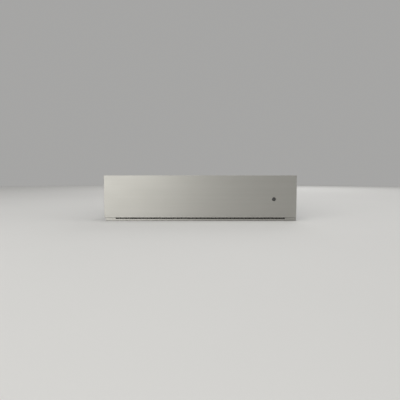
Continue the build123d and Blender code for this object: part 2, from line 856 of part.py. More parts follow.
def control_box():
    """The box in the drawer's front right corner, open at the top under its fascia."""
    box = block(box_left, box_right, tub_front, box_rear, floor_top, box_top)
    box = fillet(box.edges().filter_by(Axis.Z).sort_by(Axis.Y)[-2:], 3.0)
    low, high = box_left + box_wall, box_right - box_wall
    box -= block(low, high, tub_front + box_wall, box_rear - box_wall, floor_top + box_wall, box_top)
    half = control_lead_size / 2 + 1.0
    y0, y1 = control_lead_front - 4.0, control_lead_front + 6.0
    return box - block(high, box_right, y0, y1, control_lead_z - half, control_lead_z + half)


def control_fascia():
    """The plate on the control box, with the hole for the thermostat's neck."""
    plate = block(box_left, box_right, tub_front, box_rear, box_top, fascia_top)
    plate = fillet(plate.edges().filter_by(Axis.Z).sort_by(Axis.Y)[-2:], 3.0)
    plate = chamfer(plate.faces().sort_by(Axis.Z)[-1].edges(), 0.4)
    return plate - rod_z(box_top, fascia_top, knob_x, knob_y, neck_radius + fit)


def thermostat():
    """The thermostat under the fascia: a body, a threaded neck and two terminals."""
    low = box_top - 26.0
    body = block(
        knob_x - thermostat_half, knob_x + thermostat_half,
        knob_y - thermostat_half, knob_y + thermostat_half, low, box_top,
    )
    body = fillet(body.edges().filter_by(Axis.Z), 3.0)
    body += rod_z(box_top, fascia_top + 2.0, knob_x, knob_y, neck_radius)
    for x in [knob_x - 8.0, knob_x + 8.0]:
        body += block(x - 0.4, x + 0.4, knob_y - 3.2, knob_y + 3.2, low - 8.0, low)
    return body - rod_z(box_top - 18.0, fascia_top + 2.0, knob_x, knob_y, shaft_radius + fit)


def thermostat_nut():
    """The nut that clamps the thermostat's neck to the fascia, sunk under the knob."""
    nut = extrude(Pos(knob_x, knob_y, fascia_top) * RegularPolygon(8.0, 6), 1.8)
    return nut - rod_z(fascia_top, fascia_top + 1.8, knob_x, knob_y, neck_radius + fit)


def thermostat_knob():
    """The knob: a skirt, a fluted grip and a pointer, on its shaft."""
    radius, grip = knob_size / 2, knob_size / 2 - 4.0
    knob = rod_z(knob_low, knob_low + 2.5, knob_x, knob_y, radius)
    knob += rod_z(knob_low, knob_top, knob_x, knob_y, grip)
    knob = fillet(knob.faces().sort_by(Axis.Z)[-1].edges(), 1.5)
    for i in range(24):
        turn = math.radians(15.0 * i + 7.5)
        x, y = knob_x + (grip + 0.6) * math.cos(turn), knob_y + (grip + 0.6) * math.sin(turn)
        knob -= rod_z(knob_low + 2.5, knob_top, x, y, 1.1)
    knob -= block(knob_x - 0.6, knob_x + 0.6, knob_y + 3.0, knob_y + grip, knob_top - 0.8, knob_top)
    return knob - rod_z(knob_low, knob_top - 3.0, knob_x, knob_y, shaft_radius + 0.05)


def knob_shaft():
    """The shaft from the thermostat's switch into the knob."""
    return rod_z(box_top - 17.0, knob_top - 3.2, knob_x, knob_y, shaft_radius)


# ------------------------------------------------------------ blower

rotor_radius = rotor_size / 2
rotor_half = scroll_half - 3.0
shaft_bore = fan_shaft / 2 + fit
plate_outer = scroll_half + sheet
bearing_radius = 6.0
stator_near = -plate_outer - 17.0
stator_far = stator_near - 20.0
stator_bore = 11.5
stator_side = 22.0
stator_low = floor_top + 2.0
leg_top = stator_low + 6.0
bracket_gap = 8.0


def fan_scroll():
    """The blower's scroll: a rounded shell open to the grille and downwards, and its tongue."""
    def shell(radius, front):
        section = Rectangle(fan_y - front, fan_z + radius - floor_top, align=(Align.MAX, Align.MIN))
        section = Pos(fan_y, floor_top) * section
        section += Pos(fan_y, fan_z) * Circle(radius)
        section += Pos(fan_y, floor_top) * Rectangle(radius, fan_z - floor_top, align=(Align.MIN, Align.MIN))
        return run_x(section, -scroll_half, scroll_half)
    front = tub_rear + sheet
    casing = shell(scroll_radius + sheet, front) - shell(scroll_radius, front)
    tongue = block(-scroll_half, scroll_half, tongue_y, tongue_y + sheet, floor_top, floor_top + 11.0)
    return [casing, tongue]


def fan_end_plates():
    """The two ends of the scroll, each with a hole for its bearing."""
    plates = []
    for x in [-plate_outer, scroll_half]:
        plate = block(
            x, x + sheet, tub_rear + sheet, scroll_rear + sheet,
            floor_top, fan_z + scroll_radius + sheet,
        )
        plates.append(plate - rod_x(x, x + sheet, fan_y, fan_z, bearing_radius + fit))
    return plates


def fan_bearings():
    """Flanged bushes for the rotor's shaft in the end plates."""
    bush = rod_x(scroll_half - 1.5, plate_outer + 3.0, fan_y, fan_z, bearing_radius)
    bush += rod_x(plate_outer, plate_outer + 3.0, fan_y, fan_z, bearing_radius + 2.5)
    bush -= rod_x(scroll_half - 1.5, plate_outer + 3.0, fan_y, fan_z, shaft_bore)
    return [bush, other_side(bush)]


def fan_rotor():
    """The cross-flow rotor: four discs joined by rows of inclined blades."""
    hub_bore = fan_shaft / 2 + 0.05
    rotor = rod_x(-rotor_half, rotor_half, fan_y, fan_z, 5.0)
    rotor -= rod_x(-rotor_half, rotor_half, fan_y, fan_z, hub_bore)
    for x in spread(-rotor_half, rotor_half - 2.0, 4):
        rotor += rod_x(x, x + 2.0, fan_y, fan_z, rotor_radius) - rod_x(x, x + 2.0, fan_y, fan_z, 4.0)
    blade = Pos(0, 0, rotor_radius - 3.6) * Rot(28, 0, 0) * Box(2 * rotor_half, 0.7, 6.0)
    centre = Pos(0, fan_y, fan_z)
    blades = [centre * Rot(360.0 * i / blade_count, 0, 0) * blade for i in range(blade_count)]
    return rotor.fuse(*blades)


def fan_shaft_bar():
    """The shaft through the rotor and the motor."""
    return rod_x(stator_far - bracket_gap - 4.0, plate_outer + 4.0, fan_y, fan_z, fan_shaft / 2)


def motor_rotor():
    """The motor's own rotor on the shaft."""
    core = rod_x(stator_far - 1.0, stator_near + 1.0, fan_y, fan_z, stator_bore - 0.5)
    return core - rod_x(stator_far - 1.0, stator_near + 1.0, fan_y, fan_z, fan_shaft / 2 + 0.05)


def motor_stator():
    """The laminated stator, with the leg that carries the coil."""
    stack = block(
        stator_far, stator_near, fan_y - stator_side, fan_y + stator_side, stator_low, fan_z + 18.0,
    )
    stack = fillet(stack.edges().filter_by(Axis.X), 2.0)
    stack -= block(stator_far, stator_near, fan_y - 15.0, fan_y + 15.0, leg_top, fan_z - stator_bore - 3.0)
    return stack - rod_x(stator_far, stator_near, fan_y, fan_z, stator_bore)


def motor_coil():
    """The coil around the stator's lower leg."""
    coil = block(
        stator_far - 6.0, stator_near + 6.0, fan_y - 14.0,
        fan_y + 14.0, stator_low - 1.5, leg_top + 7.0,
    )
    coil = fillet(coil.edges().filter_by(Axis.Y), 1.2)
    return coil - block(
        stator_far - front_gap, stator_near + front_gap, fan_y - 14.0,
        fan_y + 14.0, stator_low - front_gap, leg_top + front_gap,
    )


def motor_brackets():
    """The bridges that carry the shaft on both sides of the stator."""
    brackets = []
    for face, way in [(stator_near, 1), (stator_far, -1)]:
        bridge = face + way * bracket_gap
        low, high = sorted([bridge, bridge + way * 3.0])
        arm = block(low, high, fan_y - 20.0, fan_y + 20.0, fan_z - 5.0, fan_z + 5.0)
        arm += rod_x(low, high, fan_y, fan_z, 7.0)
        leg_low, leg_high = sorted([face, bridge])
        for y in [fan_y - 20.0, fan_y + 16.0]:
            arm += block(leg_low, leg_high, y, y + 4.0, fan_z - 5.0, fan_z + 5.0)
        brackets.append(arm - rod_x(low, high, fan_y, fan_z, shaft_bore))
    return brackets


def motor_mounts():
    """Rubber feet between the stator and the drawer's floor."""
    return [
        block(stator_far + 2.0, stator_near - 2.0, y, y + 6.0, floor_top, stator_low)
        for y in (fan_y - 21.0, fan_y + 15.0)
    ]


def safety_cutout():
    """The thermal cut-out on the floor behind the grille, with two terminals."""
    x, y = -190.0, tub_rear + 33.0
    body = rod_z(floor_top, floor_top + 8.0, x, y, 8.0)
    body += block(x - 14.0, x + 14.0, y - 4.0, y + 4.0, floor_top, floor_top + 1.0)
    for offset in [-4.0, 4.0]:
        body += block(
            x + offset - 0.4, x + offset + 0.4, y - 3.0, y + 3.0, floor_top + 8.0, floor_top + 15.0,
        )
    return body


# ------------------------------------------------------------ leads and their boxes

junction_left = lead_up_x - 17.0
junction_right = lead_up_x + 39.0
junction_front = floor_rear - 35.0
junction_rear = floor_rear - 2.0
junction_top = floor_top + 34.0
lead_z = base_top + lead_size / 2 + 0.5
lead_mid_y = floor_rear - 225.0
clip_x = inlet_x + 6.0
control_entry_z = floor_top + 21.0


def junction_box():
    """The box on the drawer's floor where the flexing lead ends."""
    wall = box_wall
    box = block(junction_left, junction_right, junction_front, junction_rear, floor_top, junction_top)
    box -= block(
        junction_left + wall, junction_right - wall, junction_front + wall,
        junction_rear - wall, floor_top + wall, junction_top,
    )
    box -= rod_z(floor_top, floor_top + wall, lead_up_x, lead_up_y, 5.0 + fit)
    return box - rod_x(
        junction_right - wall, junction_right, control_lead_rear,
        control_entry_z, control_lead_size / 2 + fit,
    )


def junction_lid():
    """The lid of the junction box."""
    lid = block(
        junction_left, junction_right, junction_front,
        junction_rear, junction_top, junction_top + 1.5,
    )
    inset = box_wall + front_gap
    rim = block(
        junction_left + inset, junction_right - inset, junction_front + inset,
        junction_rear - inset, junction_top - 2.0, junction_top,
    )
    inset += 1.5
    rim -= block(
        junction_left + inset, junction_right - inset, junction_front + inset,
        junction_rear - inset, junction_top - 2.0, junction_top,
    )
    return lid + rim


def floor_grommet():
    """The grommet that takes the lead through the drawer's floor."""
    grommet = rod_z(floor_bottom - 1.5, floor_bottom, lead_up_x, lead_up_y, 7.0)
    grommet += rod_z(floor_bottom, floor_top + box_wall, lead_up_x, lead_up_y, 5.0)
    return grommet - rod_z(
        floor_bottom - 1.5, floor_top + box_wall, lead_up_x, lead_up_y, lead_size / 2 + fit,
    )


def drawer_lead():
    """The flexing lead, from the mains terminals in an S under the drawer to the junction box."""
    y1 = lead_mid_y
    y2 = lead_up_y
    route = [
        (lead_start_x, lead_start_y, terminal_low + 12.0),
        (lead_start_x, lead_start_y, lead_z),
        (lead_start_x, y1, lead_z),
        (-70.0, y1, lead_z),
        (0.0, y2, lead_z),
        (lead_up_x, y2, lead_z),
        (lead_up_x, y2, floor_top + 16.0),
    ]
    return tube(route, lead_size, [20.0, 26.0, 95.0, 95.0, 20.0])


def lead_clip():
    """The clip on the base plate where the flexing lead starts to move."""
    clip = block(clip_x, clip_x + 8.0, lead_mid_y - 6.0, lead_mid_y + 6.0, base_top, blanket_bottom - gap)
    return clip - rod_x(clip_x, clip_x + 8.0, lead_mid_y, lead_z, lead_size / 2 + fit)


def lead_bracket():
    """The bracket under the drawer's floor that takes the lead along."""
    low, high = lead_up_x - 30.0, lead_up_x - 24.0
    bracket = block(low, high, lead_up_y - 6.0, lead_up_y + 6.0, lead_z - 2.0, floor_bottom)
    return bracket - rod_x(low, high, lead_up_y, lead_z, lead_size / 2 + fit)


def control_lead():
    """The lead from the control box, under the right rim, to the junction box."""
    route = [
        (box_right - 12.0, control_lead_front, control_lead_z),
        (control_lead_x, control_lead_front, control_lead_z),
        (control_lead_x, control_lead_rear, control_lead_z),
        (junction_right + 18.0, control_lead_rear, control_lead_z),
        (junction_right + 18.0, control_lead_rear, control_entry_z),
        (junction_right - 10.0, control_lead_rear, control_entry_z),
    ]
    return tube(route, control_lead_size, [12.0, 12.0, 12.0, 12.0])


def control_lead_clips():
    """Clips that hold the control lead on the drawer's right side."""
    clips = []
    for y in spread(rail_front + 86.0, rail_rear - 54.0, 4):
        low, high = control_lead_z - 3.2, control_lead_z + 3.2
        clip = block(side_out, control_lead_x + 3.2, y - 4.0, y + 4.0, low, high)
        clips.append(
            clip - rod_y(y - 4.0, y + 4.0, control_lead_x, control_lead_z, control_lead_size / 2 + fit),
        )
    return clips


# ------------------------------------------------------------ the assembly

def both_sides(pieces):
    """Pieces of the right side, with the same pieces on the left."""
    return pieces + [other_side(piece) for piece in pieces]


housing_nodes = {
    "housing_base": housing_base(),
    "housing_side_right": housing_side(),
    "housing_side_left": other_side(housing_side()),
    "housing_rear": housing_rear(),
    "housing_top": housing_top(),
    "housing_screws": cover_screws() + rear_screws() + both_sides(rail_screws()) + trim_rivets(),
    "bottom_trim": bottom_trim(),
    "vent_grille": vent_grille(),
    "terminal_box": [terminal_box(), terminal_lid()],
    "terminal_block": terminal_block(),
    "cable_gland": [cable_gland(), gland_nut()],
    "latch_body": latch_body(),
    "latch_spring": latch_spring(),
    "latch_plunger": latch_plunger(),
    "rail_outer_right": rail_outer(),
    "rail_outer_left": other_side(rail_outer()),
    "rail_middle_right": rail_middle(),
    "rail_middle_left": other_side(rail_middle()),
    "outer_ball_cages": both_sides(outer_ball_cage()),
    "inner_ball_cages": both_sides(inner_ball_cage()),
    "drawer_lead": drawer_lead(),
    "lead_clip": lead_clip(),
}

drawer_nodes = {
    "front_panel": front_panel(),
    "front_insulation": front_insulation(),
    "front_inner_sheet": front_inner_sheet(),
    "pilot_bezel": pilot_bezel(),
    "pilot_lens": pilot_lens(),
    "pilot_lamp": pilot_lamp(),
    "buffers": buffers(),
    "drawer_screws": front_screws() + both_sides(rail_rivets()),
    "drawer_floor": drawer_floor(),
    "drawer_front_wall": drawer_front_wall(),
    "drawer_side_right": drawer_side_right(),
    "drawer_side_left": other_side(drawer_side()),
    "drawer_rear": drawer_rear(),
    "glass_base": glass_base(),
    "non_slip_mat": non_slip_mat(),
    "underpan": underpan(),
    "insulation_blanket": insulation_blanket(),
    "heating_element": heating_element(),
    "element_hangers": element_hangers(),
    "rail_inner_right": rail_inner(),
    "rail_inner_left": other_side(rail_inner()),
    "latch_striker": latch_striker(),
}

inner_nodes = {
    "control_box": control_box(),
    "control_fascia": control_fascia(),
    "thermostat": [thermostat(), thermostat_nut()],
    "thermostat_knob": thermostat_knob(),
    "knob_shaft": knob_shaft(),
    "blower_scroll": fan_scroll() + fan_end_plates(),
    "blower_rotor": fan_rotor(),
    "motor_shaft": [fan_shaft_bar(), motor_rotor()],
    "motor_stator": motor_stator(),
    "motor_coil": motor_coil(),
    "shaft_supports": motor_brackets() + fan_bearings(),
    "rubber_mounts": motor_mounts() + [floor_grommet()],
    "safety_cutout": safety_cutout(),
    "junction_box": [junction_box(), junction_lid()],
    "control_lead": control_lead(),
    "lead_clips": control_lead_clips() + [lead_bracket()],
}

os.makedirs("parts", exist_ok=True)
for name, shape in {**housing_nodes, **drawer_nodes, **inner_nodes}.items():
    if isinstance(shape, list):
        shape = Compound(shape)
    export_step(shape, f"parts/{name}.step")
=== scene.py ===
# %% [markdown]
# # A built-in warming drawer, dressed around its CAD frame
#
# The imported CAD model already holds every sheet, rail, screw and bearing at its real
# size and place, in metres. This lesson keeps those shapes, gives each of them the
# finish that the real piece has, and models by hand what a plain solid can't show: the
# mat's studs, the pressed fibre pads, the knob with its scale, the leads and the coil.
# Loading comes first.

import math

import bmesh
import bpy
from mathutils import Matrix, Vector


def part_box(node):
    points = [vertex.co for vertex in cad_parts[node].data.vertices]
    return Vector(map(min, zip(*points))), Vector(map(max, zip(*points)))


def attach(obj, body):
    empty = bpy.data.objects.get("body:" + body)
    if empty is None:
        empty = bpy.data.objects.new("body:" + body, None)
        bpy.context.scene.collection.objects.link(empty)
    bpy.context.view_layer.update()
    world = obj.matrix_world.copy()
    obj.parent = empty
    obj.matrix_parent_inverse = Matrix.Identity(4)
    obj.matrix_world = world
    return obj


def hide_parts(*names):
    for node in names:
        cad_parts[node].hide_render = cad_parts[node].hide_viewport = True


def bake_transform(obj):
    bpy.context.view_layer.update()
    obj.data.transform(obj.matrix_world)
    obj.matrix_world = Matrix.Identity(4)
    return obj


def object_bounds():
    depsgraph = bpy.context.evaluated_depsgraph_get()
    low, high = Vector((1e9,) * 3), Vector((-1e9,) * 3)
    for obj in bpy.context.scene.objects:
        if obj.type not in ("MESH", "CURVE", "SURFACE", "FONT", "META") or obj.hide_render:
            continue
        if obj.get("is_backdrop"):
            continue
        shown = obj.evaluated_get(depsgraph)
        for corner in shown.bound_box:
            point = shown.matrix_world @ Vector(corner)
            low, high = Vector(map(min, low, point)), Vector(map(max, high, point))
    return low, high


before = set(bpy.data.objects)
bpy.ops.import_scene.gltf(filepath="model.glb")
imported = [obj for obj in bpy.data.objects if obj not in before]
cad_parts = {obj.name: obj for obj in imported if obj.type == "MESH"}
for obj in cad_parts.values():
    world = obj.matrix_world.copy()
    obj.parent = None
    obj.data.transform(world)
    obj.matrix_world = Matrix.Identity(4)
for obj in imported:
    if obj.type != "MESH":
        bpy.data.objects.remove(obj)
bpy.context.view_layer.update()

# %% [markdown]
# ## The camera
# The picture was taken square on from about 1.23 m with a normal lens, held a little
# above the drawer and tipped slightly down, so that the horizon lies just above the
# front's top edge. It could be found by trying views. Working it out from the width of
# the front, 595 mm, and from the converging side edges is exact and quicker.

# %% Place the camera
photo_lens = 36.0
full_frame_width = 36.0
photo_tilt = math.radians(3.9)
photo_place = (-0.0009, -1.507, 0.1490)

bpy.ops.object.select_all(action="DESELECT")
bpy.ops.object.camera_add(location=photo_place, rotation=(math.pi / 2 - photo_tilt, 0, 0))
camera = bpy.context.active_object
camera.data.lens = photo_lens
camera.data.sensor_width = full_frame_width
bpy.context.scene.camera = camera
print("camera at", tuple(round(v, 4) for v in camera.location))

# %% [markdown]
# ## Sizes in millimetres
# Blender counts in metres, but a drawer is drawn in millimetres, down to the 0.02 mm that
# a brushed scratch is deep. Typing metres would fill the lesson with zeros, so one small
# helper takes sizes in millimetres and gives them back in metres.

# %% A helper for millimetres
def mm(*values):
    return values[0] / 1000 if len(values) == 1 else tuple(v / 1000 for v in values)


front_low, front_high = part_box("front_panel")
print("the front is", round((front_high[0] - front_low[0]) / mm(1)), "mm wide")

# %% [markdown]
# ## Reading a material from the inside out
# A material is a small graph. Each line below adds one node, sets its options, and fills
# its sockets: a plain value is typed in, and a socket of another node is wired in.
# One helper that does all of this keeps each finish as short as its recipe.

# %% A helper that adds one shader node
def add(tree, kind, sockets=None, **options):
    made = tree.nodes.new(kind)
    for option, value in options.items():
        setattr(made, option, value)
    for name, value in (sockets or {}).items():
        if isinstance(value, bpy.types.NodeSocket):
            tree.links.new(value, made.inputs[name])
        else:
            made.inputs[name].default_value = value
    return made


print("ready to add nodes")

# %% [markdown]
# **Sums, ranges and colours.** A few nodes come back in every finish: a product, a sum, a
# range stretched to another range, and a mix of two colours. They could be added in full
# each time. A short name for each lets a recipe be read like a formula.

# %% Helpers for sums, ranges and colours
def math_node(tree, operation, first, second, clamp=False):
    return add(tree, "ShaderNodeMath", {0: first, 1: second}, operation=operation,
               use_clamp=clamp).outputs[0]


def times(tree, first, second):
    return math_node(tree, "MULTIPLY", first, second)


def plus(tree, first, second, clamp=False):
    return math_node(tree, "ADD", first, second, clamp)


def spread(tree, value, low_in, high_in, low_out=0.0, high_out=1.0):
    """Stretches a value from one range to another, and stops at the ends."""
    sockets = {"Value": value, "From Min": low_in, "From Max": high_in,
               "To Min": low_out, "To Max": high_out}
    return add(tree, "ShaderNodeMapRange", sockets).outputs["Result"]


def mix(tree, share, first, second):
    """Mixes two colours; an index picks the colour sockets of the Mix node."""
    made = add(tree, "ShaderNodeMix", {0: share, 6: first, 7: second}, data_type="RGBA")
    return made.outputs[2]


def grey(level, warmth=0.0):
    """A colour near neutral: a positive warmth leans to yellow, a negative one to blue."""
    return (level * (1 + warmth), level, level * (1 - warmth), 1.0)


print("a warm grey is", tuple(round(v, 3) for v in grey(0.5, 0.06)))

# %% [markdown]
# ## Effects that several finishes share
# Grain, spangle, wear and dust turn up on many pieces. Each could be drawn again in every
# material. Node groups are better: built once, with named inputs, they are placed with
# other values wherever the real piece shows the same effect at another strength.
# All of them read Object coordinates, so they keep their real scale on every piece.

# %% Helpers that open an effect group
def new_effect(name, inputs, outputs):
    """Opens a group, and hands back what it is given and where its results go."""
    group = bpy.data.node_groups.new(name, "ShaderNodeTree")
    for label, value in inputs.items():
        kind = "NodeSocketVector" if isinstance(value, tuple) else "NodeSocketFloat"
        socket = group.interface.new_socket(label, in_out="INPUT", socket_type=kind)
        socket.default_value = value
    for label in outputs:
        group.interface.new_socket(label, in_out="OUTPUT", socket_type="NodeSocketFloat")
    given = group.nodes.new("NodeGroupInput").outputs
    results = group.nodes.new("NodeGroupOutput").inputs
    print("effect", name, "with", *inputs)
    return group, given, results


def object_place(tree):
    return add(tree, "ShaderNodeTexCoord").outputs["Object"]


def noise(tree, place, scale, detail=4.0, roughness=0.6):
    sockets = {"Vector": place, "Scale": scale, "Detail": detail, "Roughness": roughness}
    return add(tree, "ShaderNodeTexNoise", sockets).outputs[0]


print("groups in the file so far:", len(bpy.data.node_groups))

# %% [markdown]
# **Brushed grain.** The belt that grinds stainless sheet leaves fine scratches along one
# direction. Noise that is squeezed across the grain and stretched along it gives them,
# once fine for the scratches and once broad for the faint bands that a belt leaves.
# A scale counts how many grains of noise lie in one metre along each axis.

# %% Brushed grain
with_grain, across_grain = 9.0, 2200.0
along_x = (with_grain, across_grain, across_grain)
along_y = (across_grain, with_grain, across_grain)
belt_bands = (1.2, 90.0, 90.0)

grain, given, results = new_effect(
    "brushed_grain", {"Stretch": along_x, "Bands": belt_bands}, ["Height", "Tone"])
place = object_place(grain)
fine_place = add(grain, "ShaderNodeMapping", {"Vector": place, "Scale": given["Stretch"]})
band_place = add(grain, "ShaderNodeMapping", {"Vector": place, "Scale": given["Bands"]})
scratches = noise(grain, fine_place.outputs[0], 1.0, 3.0, 0.7)
bands = noise(grain, band_place.outputs[0], 1.0, 4.0, 0.55)
grain.links.new(scratches, results["Height"])
grain.links.new(times(grain, plus(grain, scratches, bands), 0.5), results["Tone"])

# %% [markdown]
# **Zinc spangle.** Hot-dip zinc freezes in crystals of a few millimetres, each of its own
# tone. Voronoi cells are such crystals: the cell's random colour is its tone, and a
# second, finer set breaks up the large ones. Noise pushes both about, so that the
# crystals' edges are ragged and not ruled.

# %% Zinc spangle
ragged = mm(4, 4, 4)
finer_by = 2.6
large_share = 0.65

spangle, given, results = new_effect("zinc_spangle", {"Crystals": 190.0}, ["Tone"])
place = object_place(spangle)
push = add(spangle, "ShaderNodeVectorMath",
           {0: ragged, "Scale": noise(spangle, place, 60.0, 2.0)}, operation="SCALE")
pushed = add(spangle, "ShaderNodeVectorMath", {0: place, 1: push.outputs[0]},
             operation="ADD").outputs[0]
tones = []
for crystals in (given["Crystals"], times(spangle, given["Crystals"], finer_by)):
    cells = add(spangle, "ShaderNodeTexVoronoi", {"Vector": pushed, "Scale": crystals})
    split = add(spangle, "ShaderNodeSeparateColor", {0: cells.outputs["Color"]})
    tones.append(split.outputs[0])
spangle.links.new(plus(spangle, times(spangle, tones[0], large_share),
                       times(spangle, tones[1], 1 - large_share)), results["Tone"])

# %% [markdown]
# **Worn edges.** Handling polishes bare metal and rubs paint off where a surface turns.
# Each edge could be painted by hand, but the Bevel node finds them all: it rounds the
# normals near an edge, so the angle between its normal and the true one is a mask of the
# edges. Noise breaks it up, because nothing wears evenly.

# %% Worn edges
edges, given, results = new_effect("worn_edges", {"Width": mm(0.8), "Breaks": 180.0}, ["Mask"])
rounded = add(edges, "ShaderNodeBevel", {"Radius": given["Width"]}, samples=4).outputs[0]
true_normal = add(edges, "ShaderNodeNewGeometry").outputs["Normal"]
angle = add(edges, "ShaderNodeVectorMath", {0: rounded, 1: true_normal},
            operation="DOT_PRODUCT").outputs["Value"]
sharp = spread(edges, angle, 0.995, 0.85)
broken = spread(edges, noise(edges, object_place(edges), given["Breaks"]), 0.38, 0.62)
edges.links.new(times(edges, sharp, broken), results["Mask"])

# %% [markdown]
# **Settled dust and handling marks.** Dust lies on what faces up, in soft patches, so the
# normal's upward share and a noise are enough, and no layer has to be modelled. Wiped and
# touched metal shows broad, faint smears that only change how sharp the shine is.

# %% Settled dust, and handling marks
dust, given, results = new_effect("settled_dust", {"Patches": 22.0}, ["Mask"])
up = add(dust, "ShaderNodeSeparateXYZ",
         {0: add(dust, "ShaderNodeNewGeometry").outputs["Normal"]}).outputs["Z"]
facing = spread(dust, up, 0.4, 1.0)
patches = spread(dust, noise(dust, object_place(dust), given["Patches"], 6.0), 0.35, 0.75, 0.2)
dust.links.new(times(dust, facing, patches), results["Mask"])

marks, given, results = new_effect("handling_marks", {"Size": 9.0}, ["Mask"])
smear_place = add(marks, "ShaderNodeMapping",
                  {"Vector": object_place(marks), "Scale": (0.5, 1.0, 1.7)}).outputs[0]
smears = noise(marks, smear_place, given["Size"], 5.0, 0.5)
marks.links.new(spread(marks, smears, 0.42, 0.7), results["Mask"])

# %% [markdown]
# **Moulded skin and pressed fibres.** Moulds are spark-eroded, which prints a fine,
# round-bottomed grain on plastic and rubber. Mineral fibre board is a felt of short
# threads that lie every way in the sheet: three stretched noises, each turned, cross.

# %% Moulded skin, and pressed fibres
skin, given, results = new_effect("moulded_skin", {"Scale": 1500.0}, ["Height", "Tone"])
place = object_place(skin)
pits = add(skin, "ShaderNodeTexVoronoi", {"Vector": place, "Scale": given["Scale"]},
           feature="SMOOTH_F1").outputs["Distance"]
skin.links.new(pits, results["Height"])
skin.links.new(noise(skin, place, 35.0, 5.0), results["Tone"])

thread_stretch = (60.0, 1300.0, 1300.0)
fibres, given, results = new_effect("pressed_fibres", {"Scale": 1.0}, ["Height", "Tone"])
place = object_place(fibres)
highest = 0.0
for turn in (0.3, 1.4, 2.5):
    laid = add(fibres, "ShaderNodeMapping", {
        "Vector": place, "Rotation": (turn, turn, turn), "Scale": thread_stretch})
    threads = noise(fibres, laid.outputs[0], given["Scale"], 2.0)
    highest = math_node(fibres, "MAXIMUM", threads, highest)
fibres.links.new(highest, results["Height"])
fibres.links.new(noise(fibres, place, 40.0, 6.0, 0.7), results["Tone"])

# %% [markdown]
# ## Placing an effect in a material
# Each material keeps its own Principled shader, and only colours, masks and heights come
# out of the groups. `start` opens a material, `effect` places a group in it with this
# finish's own values, and `shade` ends it with the shader's constants set on the shader
# itself. A constant could also come in by a wire, but the export loses some of those.

# %% Helpers that start and end a material
def start(name):
    material = bpy.data.materials.new(name + "_finish")
    material.use_nodes = True
    material.node_tree.nodes.clear()
    return material, material.node_tree


def effect(tree, group, values=None):
    made = add(tree, "ShaderNodeGroup", node_tree=group)
    for label, value in (values or {}).items():
        made.inputs[label].default_value = value
    return made.outputs


def bump(tree, height, distance):
    return add(tree, "ShaderNodeBump", {"Height": height, "Distance": distance,
                                        "Strength": 1.0}).outputs[0]


def shade(tree, colour, roughness, normal=None, **constants):
    sockets = {"Base Color": colour, "Roughness": roughness}
    if normal is not None:
        sockets["Normal"] = normal
    for label, value in constants.items():
        sockets[label.replace("_", " ").title().replace("Ior", "IOR")] = value
    shader = add(tree, "ShaderNodeBsdfPrincipled", sockets)
    output = add(tree, "ShaderNodeOutputMaterial")
    tree.links.new(shader.outputs[0], output.inputs["Surface"])
    return shader


finishes = {}
print("ready to mix finishes")

# %% [markdown]
# ## Sheet metals
# The front, the trim and the tub are brushed stainless steel; the housing is galvanised;
# rails and screws are zinc plated. They differ in tone, grain, spangle and polish, so one
# recipe with those as its inputs serves all of them, as one rolling mill does. Each metal
# lies between a light and a dark tone, and between a smooth and a rough shine.

# %% The recipe for metals
spangle_share = 0.75
polished_by, palest_metal = 1.35, 0.9
metal_dust = grey(0.42, 0.06)
smear_dulls, dust_dulls = 0.05, 0.5


def metal(name, light, dark, smooth, rough, stretch, grain_depth, bands=belt_bands,
          crystals=0.0, wear=0.35, dust_share=0.15, rust=None, drawn=0.0):
    material, tree = start(name)
    lines = effect(tree, grain, {"Stretch": stretch, "Bands": bands})
    smear = effect(tree, marks)["Mask"]
    tone = lines["Tone"]
    if crystals:
        zinc = effect(tree, spangle, {"Crystals": crystals})["Tone"]
        tone = plus(tree, times(tree, zinc, spangle_share), times(tree, tone, 1 - spangle_share))
    colour = mix(tree, spread(tree, tone, 0.25, 0.75), dark, light)
    worn = times(tree, effect(tree, edges)["Mask"], wear)
    colour = mix(tree, worn, colour, grey(min(light[1] * polished_by, palest_metal)))
    if rust:
        stain = noise(tree, object_place(tree), 70.0, 6.0)
        colour = mix(tree, spread(tree, stain, 0.55, 0.75, 0.0, 0.5), colour, rust)
    lying = times(tree, effect(tree, dust)["Mask"], dust_share)
    colour = mix(tree, lying, colour, metal_dust)
    gloss = plus(tree, spread(tree, tone, 0.2, 0.8, smooth, rough),
                 times(tree, smear, smear_dulls))
    gloss = plus(tree, gloss, times(tree, lying, dust_dulls), clamp=True)
    shader = shade(tree, colour, gloss, bump(tree, lines["Height"], grain_depth), metallic=1.0,
                   anisotropic=drawn, anisotropic_rotation=0.25)
    if drawn:
        along = add(tree, "ShaderNodeTangent", direction_type="RADIAL", axis="Z")
        tree.links.new(along.outputs[0], shader.inputs["Tangent"])
    finishes[name] = material


print("the recipe takes grain along", along_x, "or", along_y)

# %% [markdown]
# ** Each metal's own values.** The front's brushed steel is a little warm and only softly shiny. The trim below it is rolled from thinner, smoother strip, and its steel is painted a little darker than the front's, as painted shade for its recess. Drawn steel also spreads its shine across the grain, which the shader's own anisotropy does better than a bump.

# %% Mix the metals
def evenly(count):
    return (count, count, count)


